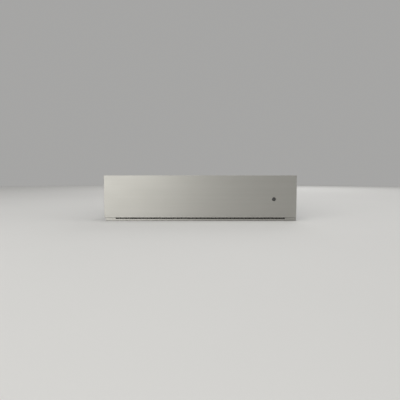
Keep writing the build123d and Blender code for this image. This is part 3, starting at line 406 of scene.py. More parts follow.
even = evenly(420.0)
metal("stainless_brushed", light=(0.515, 0.508, 0.478, 1), dark=(0.455, 0.448, 0.420, 1),
      smooth=0.42, rough=0.50, stretch=along_x, grain_depth=mm(0.02), wear=0.15,
      dust_share=0.05, drawn=0.5)
# The trim's steel is painted a little darker than the front's: painted shade for its recess. Its
# smoother shine is real.
metal("stainless_trim", light=(0.478, 0.471, 0.444, 1), dark=(0.425, 0.418, 0.392, 1),
      smooth=0.33, rough=0.41, stretch=along_x, grain_depth=mm(0.02), wear=0.15,
      dust_share=0.05, drawn=0.5)
metal("galvanised_sheet", light=grey(0.57, -0.02), dark=grey(0.43, -0.03), smooth=0.36,
      rough=0.54, stretch=even, grain_depth=mm(0.01), bands=evenly(30.0), crystals=190.0,
      wear=0.25)
metal("zinc_rail", light=(0.60, 0.60, 0.58, 1), dark=(0.47, 0.48, 0.48, 1), smooth=0.24,
      rough=0.38, stretch=along_y, grain_depth=mm(0.02), bands=(90.0, 1.2, 90.0), wear=0.4)
metal("fastener_steel", light=(0.56, 0.55, 0.50, 1), dark=(0.40, 0.40, 0.38, 1), smooth=0.28,
      rough=0.48, stretch=even, grain_depth=mm(0.01), bands=evenly(160.0), wear=0.5)
metal("lamp_bezel", light=grey(0.12), dark=grey(0.08), smooth=0.20, rough=0.30, stretch=even,
      grain_depth=mm(0.004), wear=0.1, dust_share=0.0)
metal("rotor_aluminium", light=grey(0.66, -0.01), dark=grey(0.55, -0.01), smooth=0.28,
      rough=0.42, stretch=along_x, grain_depth=mm(0.01))
metal("die_cast", light=grey(0.50), dark=grey(0.38), smooth=0.42, rough=0.60, stretch=even,
      grain_depth=mm(0.06), bands=evenly(70.0))
metal("stator_laminations", light=grey(0.24), dark=grey(0.11), smooth=0.40, rough=0.62,
      stretch=(1600.0, 20.0, 20.0), grain_depth=mm(0.12), bands=(1600.0, 8.0, 8.0), wear=0.3,
      rust=(0.16, 0.07, 0.03, 1))
metal("element_sheath", light=(0.30, 0.26, 0.22, 1), dark=(0.15, 0.14, 0.15, 1), smooth=0.38,
      rough=0.60, stretch=even, grain_depth=mm(0.03), bands=evenly(26.0), wear=0.2,
      rust=(0.12, 0.07, 0.09, 1))
print("metals", len(finishes))

# %% [markdown]
# ## Plastics, rubber and silicone
# These are dyed through and moulded: what changes over them is the skin's fine grain, a
# faint cloudiness of tone, paler rubbed edges and a little dust. They could be flat
# colours with a bump, but then they all look like one plastic. One recipe again.

# %% The recipe for moulded pieces
rubbed_by, rubbed_more, palest_plastic = 2.2, 0.03, 0.85
plastic_dust = grey(0.36, 0.05)
dust_dulls_plastic = 0.4


def moulded(name, light, dark, smooth, rough, scale, depth, wear=0.25, dust_share=0.2,
            **constants):
    material, tree = start(name)
    surface = effect(tree, skin, {"Scale": scale})
    colour = mix(tree, spread(tree, surface["Tone"], 0.3, 0.7), dark, light)
    worn = times(tree, effect(tree, edges, {"Width": mm(0.6)})["Mask"], wear)
    rubbed = grey(min(light[1] * rubbed_by + rubbed_more, palest_plastic))
    colour = mix(tree, worn, colour, rubbed)
    lying = times(tree, effect(tree, dust)["Mask"], dust_share)
    colour = mix(tree, lying, colour, plastic_dust)
    gloss = plus(tree, spread(tree, surface["Tone"], 0.3, 0.7, smooth, rough),
                 times(tree, lying, dust_dulls_plastic), clamp=True)
    shade(tree, colour, gloss, bump(tree, surface["Height"], depth), **constants)
    finishes[name] = material


print("dust on plastic is", tuple(round(v, 3) for v in plastic_dust))

# %% [markdown]
# ** Each moulding's own values.** Rubber is the roughest and has the deepest skin; the knob and its plate have the smoothest. The grille behind the slot is painted darker than black plastic and hardly shines: painted shade for the dark slot. The mat has the faint bloom of silicone.

# %% Mix the plastics, rubber and silicone
moulded("black_plastic", light=grey(0.030), dark=grey(0.020), smooth=0.42, rough=0.58,
        scale=1500.0, depth=mm(0.05))
# The grille is near black and hardly shines: painted shade for the dark slot in front of it.
moulded("grille_black_painted_shade", light=grey(0.006), dark=grey(0.004), smooth=0.70, rough=0.80,
        scale=1500.0, depth=mm(0.04), wear=0.0, dust_share=0.0, specular_ior_level=0.1)
moulded("light_plastic", light=grey(0.66, 0.05), dark=grey(0.56, 0.07), smooth=0.45,
        rough=0.60, scale=1200.0, depth=mm(0.03))
moulded("control_plate", light=grey(0.046), dark=grey(0.036), smooth=0.30, rough=0.42,
        scale=2200.0, depth=mm(0.02), wear=0.5)
moulded("knob_plastic", light=grey(0.048), dark=grey(0.034), smooth=0.30, rough=0.44,
        scale=1800.0, depth=mm(0.02), dust_share=0.1)
moulded("lamp_holder", light=grey(0.68, 0.05), dark=grey(0.58, 0.07), smooth=0.40, rough=0.55,
        scale=1200.0, depth=mm(0.03))
moulded("rubber_black", light=grey(0.034), dark=grey(0.022), smooth=0.70, rough=0.86,
        scale=900.0, depth=mm(0.06))
moulded("mat_silicone", light=grey(0.095, -0.03), dark=grey(0.075, -0.03), smooth=0.52,
        rough=0.66, scale=1300.0, depth=mm(0.04), wear=0.15, sheen_weight=0.12)
moulded("lead_jacket", light=grey(0.050), dark=grey(0.036), smooth=0.46, rough=0.62,
        scale=1000.0, depth=mm(0.03))
moulded("scale_print", light=grey(0.74), dark=grey(0.64), smooth=0.45, rough=0.60,
        scale=1800.0, depth=mm(0.01), wear=0.0, dust_share=0.05)
print("finishes so far", len(finishes))

# %% [markdown]
# ## Glass and lens
# These two need a recipe of their own. The drawer's base is clear toughened glass with a
# green cast, and it shows only by its reflections and its smears. The pilot's lens is
# smoked and hides its lamp while it is off. It could be dark glass too, but dark plastic
# under a clear coat looks the same from outside and renders without noise.

# %% The glass base and the smoked lens
material, tree = start("clear_glass")
smear = effect(tree, marks)["Mask"]
tint = mix(tree, smear, (0.86, 0.93, 0.91, 1), (0.80, 0.88, 0.86, 1))
shade(tree, tint, spread(tree, smear, 0.0, 1.0, 0.02, 0.07), metallic=0.0,
      transmission_weight=1.0, ior=1.52)
finishes["clear_glass"] = material

material, tree = start("lamp_lens")
cloud = effect(tree, skin, {"Scale": 2600.0})
colour = mix(tree, cloud["Tone"], grey(0.036), grey(0.050))
shade(tree, colour, spread(tree, cloud["Tone"], 0.3, 0.7, 0.16, 0.26),
      bump(tree, cloud["Height"], mm(0.008)), coat_weight=0.5, coat_roughness=0.08)
finishes["lamp_lens"] = material
print("finishes so far", len(finishes))

# %% [markdown]
# ## Fibre and copper
# The insulation is a dull felt: its threads show as pale lines on a clouded ground. The
# coil's wire is bright copper under brown enamel. One mixed gloss would make it dull, so
# the metal keeps its own shine and a clear coat over it is the enamel.

# %% The fibre board and the enamelled wire
material, tree = start("fibre_board")
felt = effect(tree, fibres)
colour = mix(tree, spread(tree, felt["Tone"], 0.3, 0.7), (0.55, 0.52, 0.44, 1),
             (0.74, 0.71, 0.62, 1))
thread = spread(tree, felt["Height"], 0.5, 0.75, 0.0, 0.5)
colour = mix(tree, thread, colour, (0.84, 0.82, 0.75, 1))
shade(tree, colour, spread(tree, felt["Tone"], 0.3, 0.7, 0.82, 0.95),
      bump(tree, felt["Height"], mm(0.3)), sheen_weight=0.25)
finishes["fibre_board"] = material

material, tree = start("copper_coil")
lines = effect(tree, grain, {"Stretch": (300.0, 900.0, 300.0), "Bands": evenly(80.0)})
colour = mix(tree, spread(tree, lines["Tone"], 0.3, 0.7), (0.34, 0.13, 0.05, 1),
             (0.60, 0.27, 0.11, 1))
shade(tree, colour, spread(tree, lines["Tone"], 0.3, 0.7, 0.24, 0.40),
      bump(tree, lines["Height"], mm(0.01)), metallic=1.0, coat_weight=0.6,
      coat_roughness=0.2)
finishes["copper_coil"] = material
print("finishes", len(finishes))

# %% [markdown]
# ## Giving the CAD nodes their finishes
# The record says which material slot each CAD node has. Instead of a list of sixty names, the
# node's own imported material carries that slot's name, so it is looked up. The grille and the
# trim share a slot with other nodes, so they are named and get finishes of their own. The
# grille's is painted shade, nearly black. The trim's is smoother steel that is painted a little
# darker as shade.

# %% Put the finishes on the CAD nodes
dressed = 0
slot_nodes = {}
for name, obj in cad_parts.items():
    slot_name = obj.data.materials[0].name.split(".")[0]
    slot_nodes.setdefault(slot_name, []).append(name)
    for index in range(len(obj.material_slots)):
        if slot_name in finishes:
            obj.material_slots[index].material = finishes[slot_name]
            dressed += 1
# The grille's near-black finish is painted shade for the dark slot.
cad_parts["vent_grille"].material_slots[0].material = finishes["grille_black_painted_shade"]
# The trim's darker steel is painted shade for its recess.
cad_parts["bottom_trim"].material_slots[0].material = finishes["stainless_trim"]
print("slots", {slot: len(names) for slot, names in slot_nodes.items()}, "dressed", dressed)

# %% [markdown]
# ## Modelling by hand, in code
# A piece starts as a primitive at its real size and place. Edit mode then shapes it, as
# it would with the mouse: faces and edges are picked by their place or direction, and an
# operator acts on what is picked. Operators act on everything that is selected, so each
# helper first makes sure that nothing else is.

# %% Helpers that pick
def deselect():
    bpy.ops.object.select_all(action="DESELECT")


def only(piece):
    deselect()
    piece.select_set(True)
    bpy.context.view_layer.objects.active = piece


def begin(name):
    """Names the newest piece and selects it alone."""
    piece = bpy.context.active_object
    piece.name = name
    only(piece)
    return piece


def edit(piece, mode="FACE"):
    only(piece)
    bpy.ops.object.mode_set(mode="EDIT")
    bpy.ops.mesh.select_mode(type=mode)
    bpy.ops.mesh.select_all(action="DESELECT")


def done():
    bpy.ops.object.mode_set(mode="OBJECT")


def pick(piece, mode, test):
    """In edit mode, selects only the faces, edges or points that pass the test."""
    shape = bmesh.from_edit_mesh(piece.data)
    bpy.ops.mesh.select_all(action="DESELECT")
    shape.select_mode = {mode}
    items = {"FACE": shape.faces, "EDGE": shape.edges, "VERT": shape.verts}[mode]
    for item in items:
        item.select_set(bool(test(item)))
    shape.select_flush_mode()
    bmesh.update_edit_mesh(piece.data)


print("points, edges and faces can be picked")

# %% [markdown]
# ** Finishing a piece.** A modifier could stay live. Applied at once, it is part of the mesh, and each later step works on the real shape. `settle` ends every piece the same way: its place goes into its mesh, as in the CAD nodes, its faces are smoothed up to a chosen angle, and it gets its finish.

# %% Helpers that finish a piece
def modify(piece, kind, **settings):
    """Adds a modifier and applies it at once."""
    only(piece)
    modifier = piece.modifiers.new(kind.lower(), kind)
    for option, value in settings.items():
        setattr(modifier, option, value)
    bpy.ops.object.modifier_apply(modifier=modifier.name)


def repeat(piece, count, step):
    """Sets out copies in a row, each a step from the last."""
    modify(piece, "ARRAY", count=count, use_relative_offset=False, use_constant_offset=True,
           constant_offset_displace=step)


def settle(piece, finish, angle=35):
    only(piece)
    bpy.ops.object.transform_apply(location=True, rotation=True, scale=True)
    bpy.ops.object.shade_smooth_by_angle(angle=math.radians(angle))
    piece.data.materials.clear()
    piece.data.materials.append(finishes[finish])
    print(piece.name, "faces", len(piece.data.polygons))
    return piece


def join(pieces, name):
    """Makes one piece of several."""
    only(pieces[0])
    for piece in pieces:
        piece.select_set(True)
    bpy.ops.object.join()
    return begin(name)


print("pieces can be finished with any of", len(finishes), "finishes")

# %% [markdown]
# ## The leads
# A flexing lead crosses from the fixed housing to the drawer, and a second one runs under
# the right rim to the control box. A mesh tube with bent corners would look like wire, so
# each is one smooth NURBS line through the points where a fitter would hold it, and the
# curve's own bevel gives it its thickness. Then it becomes a mesh.

# %% Draw the two leads
def lead(name, route, thickness):
    line = bpy.data.curves.new(name, "CURVE")
    line.dimensions = "3D"
    line.resolution_u = 10
    line.bevel_depth = mm(thickness / 2)
    line.bevel_resolution = 4
    line.use_fill_caps = True
    spline = line.splines.new("NURBS")
    spline.points.add(len(route) - 1)
    for point, place in zip(spline.points, route):
        point.co = (*mm(*place), 1.0)
    spline.order_u = 3
    spline.use_endpoint_u = True
    piece = bpy.data.objects.new(name, line)
    bpy.context.scene.collection.objects.link(piece)
    only(piece)
    bpy.ops.object.convert(target="MESH")
    return settle(begin(name), "lead_jacket", 60)


flexing_lead = lead("flexing_lead", [
    (-236, 245, 50), (-236, 245, 47), (-236, 245, 7), (-236, 205, 7), (-236, 52, 7),
    (-236, 0, 7), (-184, 0, 7), (-120, 0, 7), (-70, 0, 7), (0, 210, 7), (50, 210, 7),
    (125, 210, 7), (165, 210, 7), (165, 210, 47), (165, 210, 51)], thickness=6.0)
knob_lead = lead("knob_lead", [
    (249.3, -236, 95.5), (268.4, -236, 95.5), (268.4, -212, 95.5), (268.4, 182, 95.5),
    (268.4, 206, 95.5), (244.4, 206, 95.5), (222, 206, 95.5), (222, 206, 76),
    (222, 206, 56), (194, 206, 56)], thickness=4.0)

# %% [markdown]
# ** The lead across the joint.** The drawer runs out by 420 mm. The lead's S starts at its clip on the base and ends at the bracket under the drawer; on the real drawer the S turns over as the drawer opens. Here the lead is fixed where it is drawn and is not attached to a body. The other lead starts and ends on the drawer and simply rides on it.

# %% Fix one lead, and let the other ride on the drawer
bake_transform(flexing_lead)
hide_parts("drawer_lead")
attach(knob_lead, "drawer")
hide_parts("control_lead")

# %% [markdown]
# ## A plate with rounded edges
# The mat's sheet, the knob's pointer and the coil's bobbin are all plates. A plain cube
# has knife edges, which no moulding has. Here a cube is brought to size, the edges across
# its thickness are bevelled for the corners, and then both rims are bevelled a little.

# %% A helper for plates
def sheet_block(name, low, high, corner, rounding):
    middle = [(a + b) / 2 for a, b in zip(low, high)]
    size = [b - a for a, b in zip(low, high)]
    deselect()
    bpy.ops.mesh.primitive_cube_add(size=1, location=mm(*middle))
    piece = begin(name)
    bpy.ops.transform.resize(value=mm(*size))
    bpy.ops.object.transform_apply(location=False, rotation=False, scale=True)
    thin = size.index(min(size))
    edit(piece, "EDGE")
    pick(piece, "EDGE", lambda e: abs((e.verts[0].co - e.verts[1].co)[thin]) > mm(min(size)) / 2)
    bpy.ops.mesh.bevel(offset=mm(corner), segments=6, affect="EDGES")
    pick(piece, "EDGE", lambda e: len({round(v.co[thin], 6) for v in e.verts}) == 1
         and any(len(f.verts) > 4 for f in e.link_faces))
    bpy.ops.mesh.bevel(offset=mm(rounding), segments=2, affect="EDGES")
    done()
    return piece


print("a plate needs two corners and two roundings")

# %% [markdown]
# ## The non-slip mat
# The mat keeps plates from sliding when the drawer is pushed shut. It is silicone, with a
# low rim all round. The sheet could be cut with a boolean, but an inset on its top face,
# and a second one whose middle is pushed down, give the rim and its little slope too.

# %% Model the mat's sheet
mat_low, mat_high = (-243.3, -186.0, 39.0), (243.3, 144.0, 41.0)
mat_corner, mat_rounding = 12.0, 0.35
rim_width, rim_slope, rim_height = 4.0, 0.5, 0.9

mat = sheet_block("studded_mat", mat_low, mat_high, mat_corner, mat_rounding)
edit(mat)
pick(mat, "FACE", lambda f: f.normal.z > 0.99 and len(f.verts) > 8)
bpy.ops.mesh.inset(thickness=mm(rim_width))
bpy.ops.mesh.inset(thickness=mm(rim_slope))
bpy.ops.transform.translate(value=mm(0, 0, -rim_height))
done()
print("the mat is", [round(b - a, 1) for a, b in zip(mat_low, mat_high)], "mm")

# %% [markdown]
# **The studs.** Inside the rim lies a field of round studs that grip the plates. They
# could be a bump in the material, but their shadows show. One stud of ten sides is
# modelled and then set out in rows with two arrays, which keeps every stud the same and
# its faces few.

# %% Set out the studs
stud_radius, stud_height, stud_middle, stud_bevel = 3.2, 1.0, 40.4, 0.45
stud_pitch, studs_across, studs_deep = 11.4, 42, 28
first_x = (mat_low[0] + mat_high[0]) / 2 - stud_pitch * (studs_across - 1) / 2
first_y = (mat_low[1] + mat_high[1]) / 2 - stud_pitch * (studs_deep - 1) / 2

deselect()
bpy.ops.mesh.primitive_cylinder_add(
    vertices=10, radius=mm(stud_radius), depth=mm(stud_height), end_fill_type="NGON",
    location=mm(first_x, first_y, stud_middle))
stud = begin("mat_studs")
edit(stud)
pick(stud, "FACE", lambda f: f.normal.z > 0.9)
bpy.ops.mesh.bevel(offset=mm(stud_bevel), segments=1, affect="EDGES")
done()
repeat(stud, studs_across, mm(stud_pitch, 0, 0))
repeat(stud, studs_deep, mm(0, stud_pitch, 0))
mat = join([mat, stud], "studded_mat")
settle(mat, "mat_silicone")
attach(mat, "drawer")
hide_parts("non_slip_mat")

# %% [markdown]
# ## The pressed fibre pads
# A blanket of mineral fibre lies under the heated floor, and a board of it fills the
# front. Both are soft enough to dent and bulge. A flat plate would look like wood, so a
# plate is divided, its faces are moved by a cloud texture, and its rims are rounded. The
# plate starts a little thinner, so that the pads stay inside the room that the CAD gives
# them.

# %% A helper for fibre pads
smallest_cell, cells_through = 6.0, 3


def fibre_pad(name, low, high, unevenness, most_cells=40):
    thin = min(range(3), key=lambda i: high[i] - low[i])
    spare = [unevenness / 2 if i == thin else 0 for i in range(3)]
    inner_low = [a + s for a, s in zip(low, spare)]
    inner_high = [b - s for b, s in zip(high, spare)]
    middle = [(a + b) / 2 for a, b in zip(inner_low, inner_high)]
    size = [b - a for a, b in zip(inner_low, inner_high)]
    deselect()
    bpy.ops.mesh.primitive_cube_add(size=1, location=mm(*middle))
    pad = begin(name)
    bpy.ops.transform.resize(value=mm(*size))
    bpy.ops.object.transform_apply(location=True, rotation=False, scale=True)
    edit(pad)
    for axis in range(3):
        cells = min(most_cells, round(size[axis] / smallest_cell))
        if axis == thin:
            cells = cells_through
        for cut in range(1, cells):
            bpy.ops.mesh.select_all(action="SELECT")
            bpy.ops.mesh.bisect(
                plane_co=[mm(inner_low[i] + size[i] * cut / cells) if i == axis else 0
                          for i in range(3)],
                plane_no=[1.0 if i == axis else 0.0 for i in range(3)])
    done()
    clouds = bpy.data.textures.new(name, "CLOUDS")
    clouds.noise_scale = mm(30)
    clouds.noise_depth = 3
    modify(pad, "DISPLACE", texture=clouds, strength=mm(unevenness), mid_level=0.5)
    modify(pad, "BEVEL", width=mm(0.8), segments=2, limit_method="ANGLE",
           angle_limit=math.radians(50))
    return settle(pad, "fibre_board", 60)


print("a pad has cells of", smallest_cell, "mm or more across its faces")

# %% [markdown]
# **The blanket and the front board.** The blanket is 4 mm of needled fibre and dents by a
# millimetre. The board is stiffer and a good 17 mm thick, and its faces are flatter.

# %% Model the blanket and the front board
blanket = fibre_pad("fibre_blanket", (-245.3, -241.0, 11.0), (245.3, 219.0, 15.0),
                    unevenness=1.0)
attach(blanket, "drawer")
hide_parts("insulation_blanket")
board = fibre_pad("fibre_front_board", (-296.1, -272.8, 11.6), (296.1, -255.2, 139.6),
                  unevenness=0.6)
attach(board, "drawer")
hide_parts("front_insulation")

# %% [markdown]
# ## The temperature knob
# The knob stands on the black plate in the drawer's front right corner. Its skirt is a
# low disc; the grip above it tapers a little and has flutes for the fingertips. Disc and
# grip could be two cylinders, but one is enough: its top is inset for the skirt's slope,
# and then pulled up and drawn in step by step for the grip and its rounded top.

# %% Turn the knob
knob_x, knob_y, knob_low, knob_high = 212.8, -223.0, 113.2, 126.2
knob_corners, skirt_radius, skirt_height = 96, 19.0, 2.0
skirt_slope, skirt_rise, grip_back = 2.4, 0.6, 1.2
grip_steps = ((0.4, 0.15), (4.4, 0.25), (4.2, 0.25), (0.6, 0.3), (0.4, 0.5), (0.2, 0.8))

deselect()
bpy.ops.mesh.primitive_cylinder_add(
    vertices=knob_corners, radius=mm(skirt_radius), depth=mm(skirt_height),
    location=mm(knob_x, knob_y, knob_low + skirt_height / 2))
knob = begin("fluted_knob")
bpy.ops.object.transform_apply(location=True, rotation=False, scale=False)
edit(knob)
pick(knob, "FACE", lambda f: f.normal.z > 0.99 and len(f.verts) > 8)
bpy.ops.mesh.inset(thickness=mm(skirt_slope))
bpy.ops.transform.translate(value=mm(0, 0, skirt_rise))
bpy.ops.mesh.inset(thickness=mm(grip_back))
for rise, drawn_in in grip_steps:
    bpy.ops.mesh.extrude_region_move(TRANSFORM_OT_translate={"value": mm(0, 0, rise)})
    bpy.ops.mesh.inset(thickness=mm(drawn_in))
done()
print("knob rises to", round(max(v.co.z for v in knob.data.vertices) * 1000, 2), "mm")

# %% [markdown]
# **Flutes.** Every fourth upright row of points on the grip moves towards the axis, and a
# Bevel rounds the ridges that are left. Twenty-four small cylinders could be cut out
# instead, but a boolean leaves splinters. The bevel leaves a few points on top of each
# other, so doubles are merged at the end.

# %% Flute the grip
flute_share = 0.93
grip_low, grip_high, grip_radius = knob_low + 4.0, knob_high - 1.0, 12.0


def around(point):
    """How many of the knob's corners a point lies round its axis."""
    turn = math.degrees(math.atan2(point.y - mm(knob_y), point.x - mm(knob_x)))
    return round(turn / (360 / knob_corners))


edit(knob, "VERT")
pick(knob, "VERT", lambda v: around(v.co) % 4 == 2 and mm(grip_low) < v.co.z < mm(grip_high)
     and (v.co.xy - Vector(mm(knob_x, knob_y))).length > mm(grip_radius))
bpy.ops.transform.resize(value=(flute_share, flute_share, 1.0),
                         center_override=mm(knob_x, knob_y, knob_low))
done()
modify(knob, "BEVEL", width=mm(0.35), segments=2, limit_method="ANGLE",
       angle_limit=math.radians(28))
edit(knob, "VERT")
bpy.ops.mesh.select_all(action="SELECT")
bpy.ops.mesh.remove_doubles(threshold=mm(0.02))
bpy.ops.mesh.dissolve_degenerate(threshold=mm(0.01))
done()
settle(knob, "knob_plastic", 40)
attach(knob, "knob")
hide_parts("thermostat_knob")

# %% [markdown]
# **The pointer.** A pale line on the knob's top points at the scale. It could be painted
# by the material, but a slim bar that is set just into the top has an edge that catches
# the light, as the real inlay does. It rides with the knob.

# %% Lay the pointer
pointer_half, pointer_from, pointer_to, pointer_depth = 0.8, 3.5, 12.0, 0.9

pointer = sheet_block(
    "knob_pointer", (knob_x - pointer_half, knob_y + pointer_from, knob_high - pointer_depth),
    (knob_x + pointer_half, knob_y + pointer_to, knob_high), corner=0.4, rounding=0.15)
settle(pointer, "scale_print")
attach(pointer, "knob")

# %% [markdown]
# ## The scale round the knob
# The black plate is printed with a temperature scale: a dot where the drawer is off, then
# six numbers, with long ticks at them and short ones between. The numbers are text
# objects, turned into thin meshes. The knob turns by 270 degrees clockwise, so six steps
# of 45 reach 80. A number is wider than it is high, so the two that stand beside the knob
# lie a little further out.

# %% Print the numbers
plate_top, print_depth = 111.0, 0.08
number_step = math.radians(45)
number_size, number_reach, side_reach = 3.8, 23.9, 24.6


def on_plate(turn, reach):
    """A place on the plate, so far round the knob and so far from its axis."""
    return mm(knob_x + reach * math.sin(turn), knob_y + reach * math.cos(turn), plate_top)


printed = []
for step, number in enumerate((30, 40, 50, 60, 70, 80)):
    turn = number_step * (step + 1)
    reach = side_reach if number in (40, 80) else number_reach
    deselect()
    bpy.ops.object.text_add(location=on_plate(turn, reach))
    text = begin(f"number_{number}")
    text.data.body = str(number)
    text.data.size = mm(number_size)
    text.data.extrude = mm(print_depth)
    text.data.align_x = "CENTER"
    text.data.align_y = "CENTER"
    bpy.ops.object.convert(target="MESH")
    printed.append(text)
print("numbers", len(printed))

# %% [markdown]
# **Ticks and dot.** The ticks are one small bar each, turned about the knob's axis, and
# every second one is short. A cylinder is the dot. All that is printed becomes one piece,
# which rides with the drawer, because the plate stands still while the knob turns.

# %% Print the ticks and the dot
tick_reach, tick_width, long_tick, short_tick = 20.6, 0.4, 1.4, 0.7
dot_reach, dot_radius = 20.7, 0.7

for tick in range(2, 13):
    turn = number_step * tick / 2
    tick_length = short_tick if tick % 2 else long_tick
    deselect()
    bpy.ops.mesh.primitive_cube_add(
        size=1, location=on_plate(turn, tick_reach), rotation=(0, 0, -turn),
        scale=mm(tick_width, tick_length, 2 * print_depth))
    printed.append(begin(f"tick_{tick}"))
deselect()
bpy.ops.mesh.primitive_cylinder_add(
    vertices=20, radius=mm(dot_radius), depth=mm(2 * print_depth),
    location=on_plate(0, dot_reach))
printed.append(begin("off_dot"))
for piece in printed:
    only(piece)
    bpy.ops.object.transform_apply(location=True, rotation=True, scale=True)
scale = join(printed, "temperature_scale")
settle(scale, "scale_print")
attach(scale, "drawer")

# %% [markdown]
# ## The pilot's lens
# The lens is the one dark spot on the front. It is a smoked button, a little domed, that
# sits in its ring. A sphere would bulge too much; a disc whose face is inset and pulled
# forward in five shrinking steps gives the flat dome.

# %% Model the lens
lens_x, lens_z, lens_back, lens_radius, lens_depth = 227.5, 67.3, -268.0, 5.5, 4.6
dome_steps = ((0.35, 0.25), (0.28, 0.7), (0.2, 1.0), (0.1, 1.2), (0.05, 1.2))

deselect()
bpy.ops.mesh.primitive_cylinder_add(
    vertices=64, radius=mm(lens_radius), depth=mm(lens_depth), rotation=(math.pi / 2, 0, 0),
    location=mm(lens_x, lens_back - lens_depth / 2, lens_z))
lens = begin("smoked_lens")
bpy.ops.object.transform_apply(location=True, rotation=True, scale=False)
edit(lens)
pick(lens, "FACE", lambda f: f.normal.y < -0.99)
for rise, drawn_in in dome_steps:
    bpy.ops.mesh.inset(thickness=mm(drawn_in))
    bpy.ops.transform.translate(value=mm(0, -rise, 0))
done()
settle(lens, "lamp_lens", 60)
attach(lens, "drawer")
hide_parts("pilot_lens")

# %% [markdown]
# ## The latch's spring
# The push latch holds a light compression spring. A small ring, swept up a screw, is its wire; a
# curve could be it too, but the Screw modifier keeps every turn the same. The spring is wound
# upright, laid down, and closed at its two ends. On the real latch it stretches with the
# plunger; here it is one fixed piece, not attached to a body.

# %% Wind the spring
spring_x, spring_z, spring_turns = 125.0, 60.0, 13
spring_rear, spring_front = 259.4, 229.4
spring_radius, wire, wire_sides = 2.6, 0.35, 8

deselect()
bpy.ops.mesh.primitive_circle_add(
    vertices=wire_sides, radius=mm(wire), fill_type="NOTHING", rotation=(math.pi / 2, 0, 0),
    location=mm(spring_radius - wire, 0, 0))
spring = begin("latch_coil")
bpy.ops.object.transform_apply(location=True, rotation=True, scale=False)
pitch = (spring_rear - spring_front - 2 * wire) / spring_turns
modify(spring, "SCREW", axis="Z", angle=math.tau, iterations=spring_turns, steps=20,
       render_steps=20, screw_offset=mm(pitch), use_normal_calculate=True)
edit(spring)
bpy.ops.mesh.select_all(action="SELECT")
bpy.ops.transform.rotate(value=math.pi / 2, orient_axis="X", center_override=(0, 0, 0))
bpy.ops.mesh.fill_holes(sides=wire_sides)
bpy.ops.mesh.normals_make_consistent(inside=False)
done()
low_y = min(v.co.y for v in spring.data.vertices)
spring.location = (mm(spring_x), mm(spring_front) - low_y, mm(spring_z))
settle(spring, "fastener_steel", 60)
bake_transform(spring)
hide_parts("latch_spring")

# %% [markdown]
# ## The motor's coil
# The blower's motor has one coil, wound round the lower leg of its iron. A bobbin of four
# plates holds it: left and right of the leg, above and below it. They stand clear of the
# leg, and the wire's thickness is left free outside them.

# %% Make the bobbin
coil_low, coil_high = (-134.0, 180.0, 35.5), (-102.0, 208.0, 50.0)
leg_low, leg_high = (-128.2, 36.8), (-107.8, 43.2)
turn_wire = 0.35
inside = 2 * turn_wire

plates = [
    ((coil_low[0] + inside, leg_low[1]), (leg_low[0], leg_high[1])),
    ((leg_high[0], leg_low[1]), (coil_high[0] - inside, leg_high[1])),
    ((coil_low[0] + inside, leg_high[1]), (coil_high[0] - inside, coil_high[2] - inside)),
    ((coil_low[0] + inside, coil_low[2] + inside), (coil_high[0] - inside, leg_low[1])),
]
bobbin = join([
    sheet_block(f"bobbin_{i}", (low[0], coil_low[1], low[1]), (high[0], coil_high[1], high[1]),
                corner=0.2, rounding=0.08)
    for i, (low, high) in enumerate(plates)], "coil_bobbin")
settle(bobbin, "black_plastic")
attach(bobbin, "drawer")

# %% [markdown]
# **The winding.** The wire lies in neat turns side by side. A bump could draw them, but
# the coil's end shows them as real wires. One turn is made from a rounded outline that a
# curve's bevel thickens, and an array lays the rest along the leg.

# %% Wind the coil
corner_radius = 3.0
turn_pitch = 2.02 * turn_wire
half_x = (coil_high[0] - coil_low[0]) / 2 - turn_wire
half_z = (coil_high[2] - coil_low[2]) / 2 - turn_wire

deselect()
bpy.ops.mesh.primitive_plane_add(
    size=2, rotation=(math.pi / 2, 0, 0), location=mm(
        (coil_low[0] + coil_high[0]) / 2, coil_low[1] + inside,
        (coil_low[2] + coil_high[2]) / 2))
winding = begin("copper_winding")
winding.scale = (mm(half_x), mm(half_z), 1)
bpy.ops.object.transform_apply(location=True, rotation=True, scale=True)
edit(winding, "VERT")
bpy.ops.mesh.select_all(action="SELECT")
bpy.ops.mesh.bevel(offset=mm(corner_radius), segments=5, affect="VERTICES")
bpy.ops.mesh.select_all(action="SELECT")
bpy.ops.mesh.delete(type="ONLY_FACE")
done()
bpy.ops.object.convert(target="CURVE")
winding.data.bevel_depth = mm(turn_wire)
winding.data.bevel_resolution = 1
bpy.ops.object.convert(target="MESH")
turns = int((coil_high[1] - coil_low[1] - 3 * turn_wire) / turn_pitch)
repeat(winding, turns, mm(0, turn_pitch, 0))
settle(winding, "copper_coil", 60)
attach(winding, "drawer")
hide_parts("motor_coil")
print("turns", turns)

# %% [markdown]
# ## The studio
# The drawer stands in the middle of a plain pale floor, and the plain world is its
# backdrop. A curved paper sweep would show its edges from the side and the back; a round
# floor looks the same from all round. Its paper is very faintly clouded.

# %% Lay the floor
floor_radius = 3.6

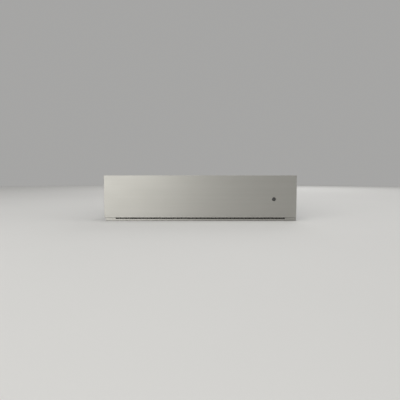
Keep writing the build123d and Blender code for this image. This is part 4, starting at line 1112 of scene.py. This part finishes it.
deselect()
bpy.ops.mesh.primitive_circle_add(vertices=96, radius=floor_radius, fill_type="NGON")
stage = begin("studio_floor")
material, tree = start("studio_paper")
cloud = noise(tree, object_place(tree), 1.3, 3.0)
paper = mix(tree, cloud, (0.76, 0.755, 0.74, 1), (0.80, 0.795, 0.78, 1))
shade(tree, paper, spread(tree, cloud, 0.3, 0.7, 0.75, 0.85), specular_ior_level=0.2)
stage.data.materials.append(material)
stage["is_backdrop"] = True
print("the floor is", 2 * floor_radius, "m across")

# %% [markdown]
# **Lamps and world.** The photographed front is brightest at its left end and falls off
# to the right, as steel does beside a window. So the large soft light stands in front and
# to the left, and the world gives the rest. A single lamp would leave the other sides
# black: the other lamps are weak and only open up the top, side and back.

# %% Set the lamps and the world
window_colour, world_colour = (1.0, 0.995, 0.97), (1.0, 0.995, 0.98, 1)
world_strength = 0.38


def lamp(name, place, target, width, height, watts, colour=(1, 1, 1)):
    deselect()
    bpy.ops.object.light_add(type="AREA", location=place)
    made = begin(name)
    made.data.shape = "RECTANGLE"
    made.data.size = width
    made.data.size_y = height
    made.data.energy = watts
    made.data.color = colour
    made.rotation_euler = (Vector(target) - Vector(place)).to_track_quat("-Z", "Y").to_euler()


lamp("window_light", (-1.4, -2.4, 0.85), target=(0, -0.27, 0.07), width=2.6, height=1.5,
     watts=34.0, colour=window_colour)
lamp("overhead", (0.0, -0.2, 2.6), target=(0, 0, 0), width=2.2, height=1.6, watts=13.0)
lamp("right_fill", (2.4, -0.6, 1.3), target=(0, 0, 0.07), width=1.4, height=1.4, watts=8.0)
lamp("rear_fill", (0.8, 2.6, 1.5), target=(0, 0.2, 0.07), width=2.0, height=1.4, watts=16.0)

world = bpy.data.worlds.new("plain_studio")
world.use_nodes = True
background = world.node_tree.nodes["Background"]
background.inputs["Color"].default_value = world_colour
background.inputs["Strength"].default_value = world_strength
bpy.context.scene.world = world
bpy.context.scene.view_settings.view_transform = "Standard"

# %% [markdown]
# ## Measure and finish
# The last line prints the far corner of the box round all pieces but the floor, in millimetres.

# %% Print the sizes
def plain(box):
    return [list(map(float, corner)) for corner in box]


print("the pieces reach", [round(v * 1000, 1) for v in plain(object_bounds())[1]], "mm")
